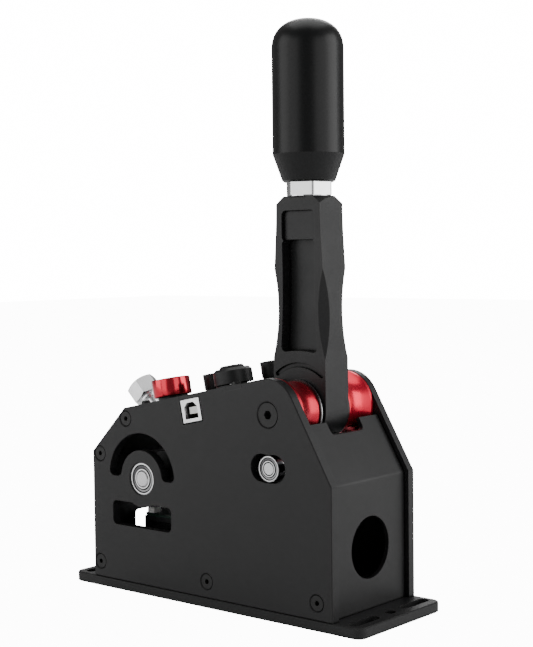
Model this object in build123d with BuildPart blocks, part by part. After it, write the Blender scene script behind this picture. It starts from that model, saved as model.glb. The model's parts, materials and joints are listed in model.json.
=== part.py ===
from build123d import *
import os
from math import cos, sin, tan, radians, degrees, sqrt, atan2, pi

os.makedirs("parts", exist_ok=True)

# All lengths are in millimetres, +X runs towards the lever's end, +Z is up
# Base plate
base_length = 183.4
base_width = 64.0
base_thickness = 5.0
base_corner_radius = 4.5
base_edge_chamfer = 0.5
mount_slot_width = 5.4
mount_slot_length = 19.5
mount_slot_offset = 19.75
mount_row_inset = 7.1

# Side plates
plate_thickness = 4.6
base_overhang = 15.3
plate_edge_chamfer = 0.4
rear_wall_drop = 25.7
rear_chamfer_angle = 45.0
slope_angle = 11.7
nose_angle = 30.0
nose_radius = 16.5

# Lever pivot and rocker shaft, set in from the plates' ends
pivot_inset = 36.1
pivot_height = 89.5
pivot_shaft_radius = 5.0
rocker_inset = 34.9
rocker_drop = 37.0
rocker_shaft_radius = 4.0
rocker_bearing_radius = 8.0
rocker_bearing_width = 4.0
bearing_recess = 0.7
rocker_shaft_recess = 0.3
bearing_mouth_chamfer = 0.45
bearing_mouth_taper = 45.0
bearing_ring_share = 0.25
bearing_shield_depth = 0.25
bearing_groove_width = 0.3
bearing_groove_depth = 0.8

# Windows in the side plates
stop_radius = 24.55
stop_slot_width = 13.0
stop_half_angle = 8.9
arc_outer_radius = 22.7
arc_inner_radius = 14.1
arc_corner_radius = 3.0
window_rear_reach = 20.6
window_front_reach = 20.1
window_bottom_drop = 24.5
window_top_drop = 12.3
window_corner_radius = 2.7
window_boss_fillet = 3.5

# Screws, as head radius, shank radius and shank length
side_screw_head_radius = 4.2
side_screw_radius = 2.0
side_screw_length = 12.0
side_screw_low_height = 7.7
side_screw_low_rear_inset = 4.55
side_screw_low_middle_x = 1.33
side_screw_low_front_inset = 8.8
side_screw_rear_inset = 5.3
side_screw_rear_drop = 1.0
side_screw_top_inset = 1.0162
side_screw_top_drop = 5.2838
pivot_screw_head_radius = 6.3
pivot_screw_radius = 3.0
pivot_screw_length = 18.0
screw_sink = 0.3
screw_rim = 0.4
socket_depth_share = 0.55
hex_share = 0.65
pivot_hex_share = 0.75
screw_overrun = 0.5
countersink_angle = 90.0
top_screw_head_radius = 2.35
top_screw_head_height = 1.4
top_screw_radius = 1.25
top_screw_taper = 20.0
top_screw_hex_share = 0.6
top_screw_length = 8.0
top_screw_shares = (0.0232274, 0.7518337)
base_screw_radius = 2.0
base_screw_head_radius = 4.0
base_screw_length = 12.0

# Folded panels and top plate
panel_thickness = 2.0
rear_panel_thickness = 6.0
rear_panel_recess = 1.5
panel_recess = 2.4
panel_side_gap = 0.3
panel_bend_radius = 2.5
panel_tab_length = 8.0
panel_tab_depth = 1.5
tab_seat_shares = (0.25, 0.75)
panel_top_drop = 4.0
panel_notch_half_width = 12.4
panel_notch_depth = 5.6
panel_notch_radius = 2.5
port_radius = 14.4
port_height = 28.2
rear_port_width = 17.7
rear_port_y = -0.85
rear_port_bottom_drop = 37.5
rear_port_top_drop = 21.5
rear_port_radius = 2.0
top_thickness = 2.2
tab_width = 10.0
tab_clearance = 0.15
top_plate_front = 9.0
top_notch_half_width = 12.0
top_notch_length = 8.0

# Cross bars
foot_bar_width = 8.6
foot_bar_height = 12.0

# Hubs on the pivot shaft
hub_plate_flange_radius = 16.3
hub_lever_flange_radius = 13.9
hub_waist_radius = 13.4
hub_flange_width = 1.9
hub_lever_flange_width = 1.5
hub_bore_clearance = 0.05
washer_radius = 14.5
washer_width = 1.2
washer_collar_radius = 6.6

# Lever
lever_half_thickness = 8.6
lever_top_height = 189.0
lever_half_width = 15.4
lever_mid_half_width = 14.3
lever_neck_half_width = 13.3
lever_top_half_width = 12.95
lever_straight_share = 0.3065
lever_mid_share = 0.6784
lever_neck_share = 0.8392
lever_end_radius = 15.4
lever_crown_radius = 12.0
scoop_share = 0.4673
scoop_half_length = 19.0
scoop_depth = 2.0
pocket_bottom_share = 0.2663
pocket_top_share = 0.799
pocket_half_width_bottom = 10.9
pocket_half_width_waist = 9.5
pocket_half_width_top = 9.8
pocket_waist_share = 0.5377
pocket_depth = 6.0
pocket_corner_radius = 2.5
shallow_top_share = 0.9246
shallow_depth = 1.8
arc_groove_radius = 21.2
arc_groove_width = 2.4
arc_groove_depth = 1.2
arc_groove_half_angle = 38.0
pivot_bearing_radius = 9.5
pivot_bearing_width = 5.0
pivot_bearing_shoulder = 1.5
tail_half_thickness = 6.0
tail_boss_radius = 7.0
tail_pin_radius = 3.0
tail_spacer_radius = 5.0
tail_pin_recess = 0.5
tail_pin_edge = 0.3
stop_roller_radius = 6.0
stop_roller_width = 4.0
grip_stud_radius = 6.0
grip_stud_depth = 20.0
grip_stud_in_grip = 24.0

# Lock nut and grip
lock_nut_flats = 19.6
lock_nut_corner_radius = 11.0
lock_nut_height = 6.0
lock_nut_gap = 0.5
lock_nut_edge = 0.7
lock_nut_turn = -42.0
grip_radius = 16.8
grip_foot_radius = 12.2
grip_taper_length = 13.0
grip_straight_length = 48.5
grip_dome_length = 14.2
grip_foot_chamfer = 0.8
dome_crown_share = 0.62
dome_side_share = 0.36

# Fork and rocker
fork_distance = 38.0
fork_half_thickness = 4.0
fork_slot_clearance = 0.15
fork_slot_back = 1.2
fork_tip_length = 4.0
fork_half_height = 8.6
fork_root_radius = 11.0
fork_roller_radius = 6.0
fork_pin_radius = 2.5
fork_side_gap = 0.6
rocker_ear_width = 2.4
rocker_ear_radius = 6.3
rocker_drum_radius = 12.0
rocker_drum_left = 16.0
rocker_pad_width = 7.0
rocker_pad_radius = 3.4
rocker_pad_reach = 7.0
rocker_lug_width = 8.0
rocker_lug_radius = 4.2
rocker_lug_root_radius = 7.0
lug_slot_length = 9.5
lug_slot_width = 5.0
detent_radius = 10.0
detent_centre = 20.2
rocker_drum_right = 14.2

# Controls on the sloping top, as shares of the way from rocker to pivot
friction_knob_share = 0.0207824
friction_knob_y = -10.0
friction_knob_radius = 9.65
friction_knob_height = 8.95
friction_knob_rim = 0.5
friction_washer_radius = 7.5
friction_screw_radius = 2.4
friction_shoe_radius = 2.8
friction_shoe_length = 6.0
selector_share = 0.4932763
selector_socket_gap = 3.0
selector_radius = 9.6
selector_height = 7.5
selector_rim = 1.4
selector_cap_radius = 6.0
selector_cap_height = 1.4
selector_stem_radius = 3.0
selector_body_side = 12.0
selector_body_height = 6.0
knob_lift = 2.1
knob_bore_share = 0.6
knob_screw_share = 0.55
travel_y = 12.0
travel_front_share = 0.594132
travel_rear_share = 0.1222494
travel_knob_radius = 5.0
travel_knob_height = 7.7
travel_knob_rim = 0.6
travel_groove_count = 24
travel_groove_radius = 0.35
travel_groove_sides = 4
travel_bush_radius = 4.6
travel_bush_height = 2.7
travel_screw_radius = 2.0
travel_front_reach = 12.6
travel_rear_below_lug = 7.0
stop_nut_radius = 4.0
stop_nut_height = 3.2
bush_below = 3.0

# Preload adjuster, measured along its axis from the rocker shaft
preload_y = 9.6
preload_head_radius = 8.6
preload_head_turn = 30.0
preload_head_height = 9.8
preload_head_start = 49.4
preload_head_edge = 0.9
preload_edge_reach = 1.5
preload_collar_radius = 6.2
preload_collar_height = 1.2
preload_rod_radius = 4.0
preload_rod_end = 21.0
preload_bore_depth = 9.0
bush_flange_radius = 9.5
bush_flange_height = 2.0
bush_body_radius = 7.0
bush_body_depth = 6.6
plunger_tip_radius = 2.5
plunger_tip_centre = 13.2
plunger_half_width = 3.5
plunger_head_radius = 4.4
plunger_head_width = 1.6
plunger_stem_radius = 2.2
plunger_stem_length = 10.0
spring_wire_radius = 0.45
spring_turns = 3.5
spring_radius = 3.4
spring_seat_gap = 0.1

# Electrical parts
usb_width = 12.0
usb_height = 10.9
usb_depth = 16.0
usb_corner_cut = 2.2
usb_share = 0.4199267
usb_notch_gap = 0.7
usb_mouth_width = 8.5
usb_mouth_height = 7.8
usb_tongue_width = 5.6
usb_tongue_height = 3.2
usb_tongue_depth = 9.0
usb_body_depth = 5.0
board_length = 38.0
board_side_gap = 0.4
board_thickness = 1.6
board_inner_y = -9.5
board_share = 0.4462103
board_gap = 0.1
board_post_radius = 2.2
board_post_offset = 15.0
sensor_bracket_reach = 18.5
sensor_bracket_length = 29.5
sensor_bracket_width = 19.8
sensor_bracket_y = -1.9
sensor_bracket_wall = 2.0
sensor_board_drop = 23.1
sensor_board_length = 28.5
sensor_chip_side = 7.0
sensor_chip_height = 2.6
sensor_plug_reach = 14.7
sensor_plug_y = -8.6
sensor_plug_length = 4.6
sensor_plug_width = 5.0
sensor_plug_height = 2.8
sensor_plug_chamfer = 0.4
magnet_radius = 3.0
magnet_height = 3.0
magnet_fill_share = 0.85

# Clearances and the overrun that every cut shares
running_clearance = 0.05
press_clearance = 0.02
seat_gap = 0.1
end_gap = 0.3
overrun = 1.0

# Places worked out from the sizes above
half_width = base_width / 2
inner_face = half_width - plate_thickness
board_width = inner_face - board_side_gap + board_inner_y
selector_y = usb_depth + selector_body_side / 2 + selector_socket_gap - half_width
deck = base_thickness
plate_half_length = base_length / 2 - base_overhang
mount_row_offset = base_length / 2 - mount_row_inset
pivot_x = plate_half_length - pivot_inset
rocker_x = rocker_inset - plate_half_length
rocker_height = pivot_height - rocker_drop
rear_wall_height = pivot_height - rear_wall_drop
window_left = rocker_x - window_rear_reach
window_right = rocker_x + window_front_reach
window_bottom = rocker_height - window_bottom_drop
window_top = rocker_height - window_top_drop
panel_top_height = pivot_height - panel_top_drop
rear_port_bottom = rocker_height - rear_port_bottom_drop
rear_port_top = rocker_height - rear_port_top_drop
control_span = pivot_x - rocker_x
friction_knob_x = rocker_x + control_span * friction_knob_share
selector_x = rocker_x + control_span * selector_share
travel_front_x = rocker_x + control_span * travel_front_share
travel_rear_x = rocker_x + control_span * travel_rear_share
usb_x = rocker_x + control_span * usb_share
board_x = rocker_x + control_span * board_share
top_screw_x = [rocker_x + control_span * share for share in top_screw_shares]
sensor_bracket_x = rocker_x - sensor_bracket_reach
sensor_plug_x = rocker_x - sensor_plug_reach
sensor_board_height = rocker_height - sensor_board_drop
side_hole_depth = side_screw_length - plate_thickness + screw_overrun
slope = radians(slope_angle)
nose = radians(nose_angle)
pivot_z = deck + pivot_height
rocker_z = deck + rocker_height
slope_x = cos(slope)
slope_z = sin(slope)
top_tangent_x = pivot_x - nose_radius * slope_z
top_tangent_z = pivot_z + nose_radius * slope_x


def top_line(x):
    """Height of the housing's sloping top edge at x."""
    return top_tangent_z + (x - top_tangent_x) * tan(slope)


def front_line(x):
    """Height of the slanted front edge at x."""
    return pivot_z + (nose_radius - (x - pivot_x) * cos(nose)) / sin(nose)


def on_top(x, y, drop):
    """Plane parallel to the sloping top, a given drop below it."""
    return Plane(
        origin=(x + drop * slope_z, y, top_line(x) - drop * slope_x),
        x_dir=(slope_x, 0, slope_z),
        z_dir=(-slope_z, 0, slope_x),
    )


def across(x, z):
    """Plane of half sections: its first direction is Y and its second is up."""
    return Plane(origin=(x, 0, z), x_dir=(0, 1, 0), z_dir=(1, 0, 0))


def cross_axis(x, z):
    """Axis along Y through a point of the side view."""
    return Axis((x, 0, z), (0, 1, 0))


rear_top_z = deck + rear_wall_height
rear_slant = tan(radians(rear_chamfer_angle))
rear_corner_x = (
    top_line(0) - rear_top_z - plate_half_length * rear_slant
) / (rear_slant - tan(slope))
rear_corner_z = top_line(rear_corner_x)
front_corner_z = front_line(plate_half_length)
nose_bisector = (radians(90) + slope + nose) / 2
front_tangent_x = pivot_x + nose_radius * cos(nose)
front_tangent_z = pivot_z + nose_radius * sin(nose)

link_angle = atan2(pivot_z - rocker_z, pivot_x - rocker_x)
link_x = cos(link_angle)
link_z = sin(link_angle)
fork_x = pivot_x - fork_distance * link_x
fork_z = pivot_z - fork_distance * link_z
fork_slot_radius = fork_roller_radius + fork_slot_clearance
stop_pin_z = pivot_z - stop_radius

side_screw_low_x = (
    side_screw_low_rear_inset - plate_half_length,
    side_screw_low_middle_x,
    plate_half_length - side_screw_low_front_inset,
)
side_screw_places = [(x, deck + side_screw_low_height) for x in side_screw_low_x]
side_screw_places.append((side_screw_rear_inset - plate_half_length, rear_top_z - side_screw_rear_drop))
side_screw_places.append((rear_corner_x + side_screw_top_inset, rear_corner_z - side_screw_top_drop))

# Base plate with a pair of mounting slots and a hole at each end
with BuildPart() as base_plate:
    with BuildSketch():
        RectangleRounded(base_length, base_width, base_corner_radius)
        with Locations((-mount_row_offset, 0), (mount_row_offset, 0)):
            with Locations((0, -mount_slot_offset), (0, mount_slot_offset)):
                SlotOverall(mount_slot_length, mount_slot_width, rotation=90, mode=Mode.SUBTRACT)
            Circle(mount_slot_width / 2, mode=Mode.SUBTRACT)
    extrude(amount=base_thickness)
    rim = base_plate.faces().sort_by(Axis.Z)[-1].outer_wire().edges()
    foot = base_plate.faces().sort_by(Axis.Z)[0].outer_wire().edges()
    chamfer(rim + foot, base_edge_chamfer)
    with Locations(Plane(origin=(0, 0, 0), x_dir=(1, 0, 0), z_dir=(0, 0, -1))):
        with Locations(*[(x, y) for x in side_screw_low_x for y in (-inner_face / 2, inner_face / 2)]):
            CounterSinkHole(
                base_screw_radius + running_clearance,
                base_screw_head_radius + running_clearance,
                depth=base_thickness + overrun,
                counter_sink_angle=countersink_angle,
            )
base_plate.part.label = "base_plate"
export_step(base_plate.part, "parts/base_plate.step")

# Outline that both side plates share
with BuildSketch() as plate_outline:
    with BuildLine():
        Polyline(
            (pivot_x + nose_radius * cos(nose), front_tangent_z),
            (plate_half_length, front_corner_z),
            (plate_half_length, deck),
            (-plate_half_length, deck),
            (-plate_half_length, rear_top_z),
            (rear_corner_x, rear_corner_z),
            (top_tangent_x, top_tangent_z),
        )
        ThreePointArc(
            (top_tangent_x, top_tangent_z),
            (pivot_x + nose_radius * cos(nose_bisector), pivot_z + nose_radius * sin(nose_bisector)),
            (front_tangent_x, front_tangent_z),
        )
    make_face()

# Stop slot, bearing bore, arc window and lower window
stop_turn = radians(stop_half_angle)
with BuildSketch() as plate_windows:
    with BuildLine(mode=Mode.PRIVATE) as stop_path:
        ThreePointArc(
            (pivot_x - stop_radius * sin(stop_turn), pivot_z - stop_radius * cos(stop_turn)),
            (pivot_x, pivot_z - stop_radius),
            (pivot_x + stop_radius * sin(stop_turn), pivot_z - stop_radius * cos(stop_turn)),
        )
    SlotArc(stop_path.edges()[0], stop_slot_width)
    with Locations((rocker_x, rocker_z)):
        Circle(rocker_bearing_radius + press_clearance)
with BuildSketch() as arc_window:
    with Locations((rocker_x, rocker_z)):
        Circle(arc_outer_radius)
        Circle(arc_inner_radius, mode=Mode.SUBTRACT)
        Rectangle(
            2 * arc_outer_radius,
            arc_outer_radius,
            align=(Align.CENTER, Align.MAX),
            mode=Mode.SUBTRACT,
        )
    fillet(arc_window.vertices(), arc_corner_radius)
with BuildSketch() as lower_window:
    with Locations(((window_left + window_right) / 2, deck + (window_bottom + window_top) / 2)):
        RectangleRounded(window_right - window_left, window_top - window_bottom, window_corner_radius)
    with Locations((rocker_x, rocker_z)):
        Circle(arc_inner_radius, mode=Mode.SUBTRACT)
    boss_corners = lower_window.vertices().filter_by(
        lambda v: abs(v.Y - deck - window_top) < window_corner_radius
        and abs(v.X - rocker_x) < arc_inner_radius * sin(pi / 3)
    )
    fillet(boss_corners, window_boss_fillet)

# Blind seats in the side plates for the panels' tabs, by middle and direction
front_panel_x = plate_half_length - panel_recess - panel_thickness / 2
panel_half_length = inner_face - panel_side_gap
wall_height = front_corner_z - deck
tab_seats = [(front_panel_x, deck + wall_height * share, 90.0) for share in tab_seat_shares]

# Side plate that carries the data socket
usb_drop = top_thickness + seat_gap / 2
usb_middle_drop = usb_drop + usb_height / 2
usb_top_x = usb_x - usb_middle_drop * slope_z
notch_depth = usb_drop + usb_height + usb_notch_gap
with BuildPart() as socket_side_plate:
    with BuildSketch(Plane.XZ.offset(inner_face)):
        add(plate_outline.sketch_local)
        add(plate_windows.sketch_local, mode=Mode.SUBTRACT)
        add(arc_window.sketch_local, mode=Mode.SUBTRACT)
        add(lower_window.sketch_local, mode=Mode.SUBTRACT)
        with Locations(Location((usb_top_x, top_line(usb_top_x)), slope_angle)):
            Rectangle(
                usb_width + 2 * usb_notch_gap,
                2 * notch_depth,
                mode=Mode.SUBTRACT,
            )
        for screw_x in top_screw_x:
            with Locations(Location((screw_x, top_line(screw_x)), slope_angle)):
                Rectangle(tab_width, 2 * top_thickness, mode=Mode.SUBTRACT)
    extrude(amount=plate_thickness)
    rim = socket_side_plate.faces().sort_by(Axis.Y)[0].outer_wire().edges()
    chamfer(rim.filter_by(lambda e: e.length > tab_width * 2), plate_edge_chamfer)
    with Locations(Plane.XZ.offset(half_width)):
        with Locations(*side_screw_places):
            CounterSinkHole(
                side_screw_radius + running_clearance,
                side_screw_head_radius + running_clearance,
                depth=plate_thickness + overrun,
                counter_sink_angle=countersink_angle,
            )
        with Locations((pivot_x, pivot_z)):
            CounterSinkHole(
                pivot_screw_radius + running_clearance,
                pivot_screw_head_radius + running_clearance,
                depth=plate_thickness + overrun,
                counter_sink_angle=countersink_angle,
            )
    with BuildSketch(Plane.XZ.offset(half_width)):
        with Locations((rocker_x, rocker_z)):
            Circle(rocker_bearing_radius + press_clearance + bearing_mouth_chamfer)
    extrude(amount=-bearing_mouth_chamfer, taper=bearing_mouth_taper, mode=Mode.SUBTRACT)
    with BuildSketch(Plane.XZ.offset(inner_face)):
        for seat_x, seat_z, seat_angle in tab_seats:
            with Locations(Location((seat_x, seat_z), seat_angle)):
                Rectangle(
                    panel_tab_length + 2 * tab_clearance,
                    panel_thickness + 2 * tab_clearance,
                )
    extrude(amount=panel_tab_depth + tab_clearance, mode=Mode.SUBTRACT)
    for screw_x in top_screw_x:
        with BuildSketch(on_top(screw_x, -(inner_face + half_width) / 2, top_thickness)):
            Circle(top_screw_radius + press_clearance)
        extrude(amount=-top_screw_length, mode=Mode.SUBTRACT)
socket_side_plate.part.label = "socket_side_plate"
export_step(socket_side_plate.part, "parts/socket_side_plate.step")

# Plain side plate, the same but for the socket's notch
with BuildPart() as plain_side_plate:
    with BuildSketch(Plane.XZ.offset(-half_width)):
        add(plate_outline.sketch_local)
        add(plate_windows.sketch_local, mode=Mode.SUBTRACT)
        add(arc_window.sketch_local, mode=Mode.SUBTRACT)
        add(lower_window.sketch_local, mode=Mode.SUBTRACT)
        for screw_x in top_screw_x:
            with Locations(Location((screw_x, top_line(screw_x)), slope_angle)):
                Rectangle(tab_width, 2 * top_thickness, mode=Mode.SUBTRACT)
    extrude(amount=plate_thickness)
    rim = plain_side_plate.faces().sort_by(Axis.Y)[-1].outer_wire().edges()
    chamfer(rim.filter_by(lambda e: e.length > tab_width * 2), plate_edge_chamfer)
    with Locations(Plane(origin=(0, half_width, 0), x_dir=(-1, 0, 0), z_dir=(0, 1, 0))):
        with Locations(*[(-x, z) for x, z in side_screw_places]):
            CounterSinkHole(
                side_screw_radius + running_clearance,
                side_screw_head_radius + running_clearance,
                depth=plate_thickness + overrun,
                counter_sink_angle=countersink_angle,
            )
        with Locations((-pivot_x, pivot_z)):
            CounterSinkHole(
                pivot_screw_radius + running_clearance,
                pivot_screw_head_radius + running_clearance,
                depth=plate_thickness + overrun,
                counter_sink_angle=countersink_angle,
            )
    with BuildSketch(Plane.XZ.offset(-inner_face)):
        for seat_x, seat_z, seat_angle in tab_seats:
            with Locations(Location((seat_x, seat_z), seat_angle)):
                Rectangle(
                    panel_tab_length + 2 * tab_clearance,
                    panel_thickness + 2 * tab_clearance,
                )
    extrude(amount=-panel_tab_depth - tab_clearance, mode=Mode.SUBTRACT)
    for screw_x in top_screw_x:
        with BuildSketch(on_top(screw_x, (inner_face + half_width) / 2, top_thickness)):
            Circle(top_screw_radius + press_clearance)
        extrude(amount=-top_screw_length, mode=Mode.SUBTRACT)
plain_side_plate.part.label = "plain_side_plate"
export_step(plain_side_plate.part, "parts/plain_side_plate.step")

# Folded panel at the lever's end, set back from the plates' edges
front_outer_x = plate_half_length - panel_recess
front_fold_z = front_line(front_outer_x) - panel_recess / sin(nose)
panel_top_z = deck + panel_top_height


def front_panel_line(z, depth):
    """X of the slanted front panel's face, a given depth behind the plates' edge."""
    return pivot_x + (nose_radius - depth - (z - pivot_z) * sin(nose)) / cos(nose)


inner_fold_z = pivot_z + (
    nose_radius - panel_recess - panel_thickness
    - (front_outer_x - panel_thickness - pivot_x) * cos(nose)
) / sin(nose)
with BuildPart() as lever_end_panel:
    with BuildSketch(Plane.XZ.offset(-panel_half_length)):
        with BuildLine():
            Polyline(
                (front_outer_x, deck),
                (front_outer_x, front_fold_z),
                (front_panel_line(panel_top_z, panel_recess), panel_top_z),
                (
                    front_panel_line(panel_top_z, panel_recess) - panel_thickness * cos(nose),
                    panel_top_z - panel_thickness * sin(nose),
                ),
                (front_outer_x - panel_thickness, inner_fold_z),
                (front_outer_x - panel_thickness, deck),
                close=True,
            )
        make_face()
    extrude(amount=2 * panel_half_length)
    bends = lever_end_panel.edges().filter_by(Axis.Y).sort_by(Axis.X)
    outer_bend = bends.filter_by(lambda e: abs(e.center().Z - front_fold_z) < press_clearance)
    fillet(outer_bend, panel_bend_radius)
    with BuildSketch(Plane.XZ.offset(-panel_half_length - panel_tab_depth)):
        for seat_x, seat_z, seat_angle in tab_seats:
            with Locations(Location((seat_x, seat_z), seat_angle)):
                Rectangle(panel_tab_length, panel_thickness)
    extrude(amount=2 * (panel_half_length + panel_tab_depth))
    with BuildSketch(Plane.YZ.offset(plate_half_length)):
        with Locations((0, deck + port_height)):
            Circle(port_radius)
    extrude(amount=-2 * (panel_recess + panel_thickness), mode=Mode.SUBTRACT)
    with BuildSketch(Plane.YZ.offset(plate_half_length)):
        with Locations((0, panel_top_z + overrun)):
            RectangleRounded(
                2 * panel_notch_half_width,
                2 * (panel_notch_depth + overrun),
                panel_notch_radius,
            )
    extrude(amount=-plate_half_length + pivot_x, mode=Mode.SUBTRACT)
lever_end_panel.part.label = "lever_end_panel"
export_step(lever_end_panel.part, "parts/lever_end_panel.step")

# Folded panel at the rear end, with a cable port and the adjuster's hole
rear_outer_x = rear_panel_recess - plate_half_length
rear_inner_x = rear_outer_x + rear_panel_thickness
rear_cos = cos(radians(rear_chamfer_angle))
rear_half_turn = tan(radians(rear_chamfer_angle) / 2)
rear_fold_z = rear_top_z - rear_panel_recess * rear_half_turn
inner_rear_fold_z = rear_fold_z - rear_panel_thickness * rear_half_turn
sheet_under = top_line(0) - top_thickness / slope_x
rear_end_x = (sheet_under - rear_fold_z + rear_outer_x * rear_slant) / (rear_slant - tan(slope))
rear_inner_end_x = (sheet_under - inner_rear_fold_z + rear_inner_x * rear_slant) / (
    rear_slant - tan(slope)
)
preload_x_dir = -sin(radians(rear_chamfer_angle))
preload_z_dir = cos(radians(rear_chamfer_angle))
chamfer_distance = (
    (rocker_x + plate_half_length) * rear_slant + rear_top_z - rocker_z
) * rear_cos
panel_outer_distance = chamfer_distance - rear_panel_recess


def preload_plane(distance):
    """Plane square to the adjuster's axis, at a distance from the rocker shaft."""
    return Plane(
        origin=(rocker_x + distance * preload_x_dir, preload_y, rocker_z + distance * preload_z_dir),
        x_dir=(0, 1, 0),
        z_dir=(preload_x_dir, 0, preload_z_dir),
    )


def preload_side(distance):
    """Plane that holds the adjuster's axis, for half sections of turned pieces."""
    return Plane(
        origin=(rocker_x + distance * preload_x_dir, preload_y, rocker_z + distance * preload_z_dir),
        x_dir=(preload_x_dir, 0, preload_z_dir),
        z_dir=(preload_z_dir, 0, -preload_x_dir),
    )


def preload_upright(distance):
    """Plane of the side view that holds the adjuster's axis."""
    return Plane(
        origin=(rocker_x + distance * preload_x_dir, preload_y, rocker_z + distance * preload_z_dir),
        x_dir=(preload_x_dir, 0, preload_z_dir),
        z_dir=(0, 1, 0),
    )


preload_axis = Axis(
    (rocker_x, preload_y, rocker_z),
    (preload_x_dir, 0, preload_z_dir),
)
with BuildPart() as rear_panel:
    with BuildSketch(Plane.XZ.offset(-inner_face)):
        with BuildLine():
            Polyline(
                (rear_outer_x, deck),
                (rear_outer_x, rear_fold_z),
                (rear_end_x, sheet_under + rear_end_x * tan(slope)),
                (rear_inner_end_x, sheet_under + rear_inner_end_x * tan(slope)),
                (rear_inner_x, inner_rear_fold_z),
                (rear_inner_x, deck),
                close=True,
            )
        make_face()
    extrude(amount=2 * inner_face)
    with BuildSketch(Plane.YZ.offset(rear_outer_x - overrun)):
        with Locations((rear_port_y, deck + (rear_port_bottom + rear_port_top) / 2)):
            RectangleRounded(rear_port_width, rear_port_top - rear_port_bottom, rear_port_radius)
    extrude(amount=rear_panel_thickness + 2 * overrun, mode=Mode.SUBTRACT)
    with BuildSketch(preload_plane(panel_outer_distance + overrun)):
        Circle(bush_body_radius + running_clearance)
    extrude(amount=-rear_panel_thickness - 2 * overrun, mode=Mode.SUBTRACT)
    for side in (-1, 1):
        with BuildSketch(Plane.XZ.offset(side * inner_face)):
            with Locations(*[(x, z) for x, z in side_screw_places if x < rear_inner_end_x]):
                Circle(side_screw_radius + press_clearance)
        extrude(amount=-side * side_hole_depth, mode=Mode.SUBTRACT)
    with BuildSketch(Plane.XY.offset(deck)):
        with Locations(*[(side_screw_low_x[0], y) for y in (-inner_face / 2, inner_face / 2)]):
            Circle(base_screw_radius + press_clearance)
    extrude(amount=base_screw_length - base_thickness + overrun, mode=Mode.SUBTRACT)
rear_panel.part.label = "rear_panel"
export_step(rear_panel.part, "parts/rear_panel.step")

# Sheet on the sloping top, with tabs that lie in the plates' notches
top_front_x = top_tangent_x - top_plate_front * slope_x
top_rear_x = rear_corner_x
top_middle_x = (top_front_x + top_rear_x) / 2
top_length = (top_front_x - top_rear_x) / slope_x
with BuildPart() as top_plate:
    with BuildSketch(on_top(top_middle_x, 0, 0)):
        Rectangle(top_length, 2 * panel_half_length)
        for screw_x in top_screw_x:
            with Locations(((screw_x - top_middle_x) / slope_x, 0)):
                Rectangle(tab_width - 2 * tab_clearance, base_width)
        with Locations(((usb_top_x - top_middle_x) / slope_x, -half_width / 2)):
            Rectangle(usb_width + 2 * usb_notch_gap - 2 * tab_clearance, half_width)
        for screw_x in top_screw_x:
            for side in (-1, 1):
                with Locations(((screw_x - top_middle_x) / slope_x, side * (inner_face + half_width) / 2)):
                    Circle(top_screw_radius + running_clearance, mode=Mode.SUBTRACT)
        for hole_x, hole_y, hole_radius in (
            (friction_knob_x, friction_knob_y, friction_screw_radius),
            (selector_x, selector_y, selector_stem_radius),
            (travel_front_x, travel_y, travel_screw_radius),
            (travel_rear_x, travel_y, travel_screw_radius),
        ):
            with Locations(((hole_x - top_middle_x) / slope_x, hole_y)):
                Circle(hole_radius + running_clearance, mode=Mode.SUBTRACT)
        with Locations((top_length / 2, 0)):
            Rectangle(2 * top_notch_length, 2 * top_notch_half_width, mode=Mode.SUBTRACT)
    extrude(amount=-top_thickness)
top_plate.part.label = "top_plate"
export_step(top_plate.part, "parts/top_plate.step")

# Bars between the plates, drilled for the side screws
with BuildPart() as foot_bars:
    for bar_x in side_screw_low_x[1:]:
        with BuildSketch(Plane.XZ.offset(-inner_face)):
            with Locations((bar_x, deck + foot_bar_height / 2)):
                Rectangle(foot_bar_width, foot_bar_height)
        extrude(amount=2 * inner_face)
    for side in (-1, 1):
        with BuildSketch(Plane.XZ.offset(side * inner_face)):
            with Locations(*[(x, deck + side_screw_low_height) for x in side_screw_low_x[1:]]):
                Circle(side_screw_radius + press_clearance)
        extrude(amount=-side * side_hole_depth, mode=Mode.SUBTRACT)
    with BuildSketch(Plane.XY.offset(deck)):
        with Locations(*[(x, y) for x in side_screw_low_x[1:] for y in (-inner_face / 2, inner_face / 2)]):
            Circle(base_screw_radius + press_clearance)
    extrude(amount=base_screw_length - base_thickness + overrun, mode=Mode.SUBTRACT)
foot_bars.part.label = "foot_bars"
export_step(foot_bars.part, "parts/foot_bars.step")


def countersunk(head_radius, shank_radius, length):
    """Half section of a countersunk screw whose head is sunk a little into its seat."""
    rim = head_radius - screw_sink - screw_rim
    return [
        (screw_sink, 0),
        (screw_sink, rim),
        (screw_sink + screw_rim / 2, rim + screw_rim / 2),
        (head_radius - shank_radius, shank_radius),
        (length, shank_radius),
        (length, 0),
    ]


# Countersunk screws in the side plates, with hexagon sockets
with BuildPart() as side_screws:
    for screw_x, screw_z in side_screw_places:
        for side in (-1, 1):
            with BuildSketch(across(screw_x, screw_z)):
                with BuildLine():
                    Polyline(
                        *[
                            (side * (half_width - depth), radius)
                            for depth, radius in countersunk(
                                side_screw_head_radius, side_screw_radius, side_screw_length
                            )
                        ],
                        close=True,
                    )
                make_face()
            revolve(axis=cross_axis(screw_x, screw_z))
    for side in (-1, 1):
        with BuildSketch(Plane.XZ.offset(side * half_width)):
            with Locations(*side_screw_places):
                RegularPolygon(side_screw_radius * hex_share, 6)
        extrude(amount=-side * side_screw_head_radius * socket_depth_share, mode=Mode.SUBTRACT)
side_screws.part.label = "side_screws"
export_step(side_screws.part, "parts/side_screws.step")

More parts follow.
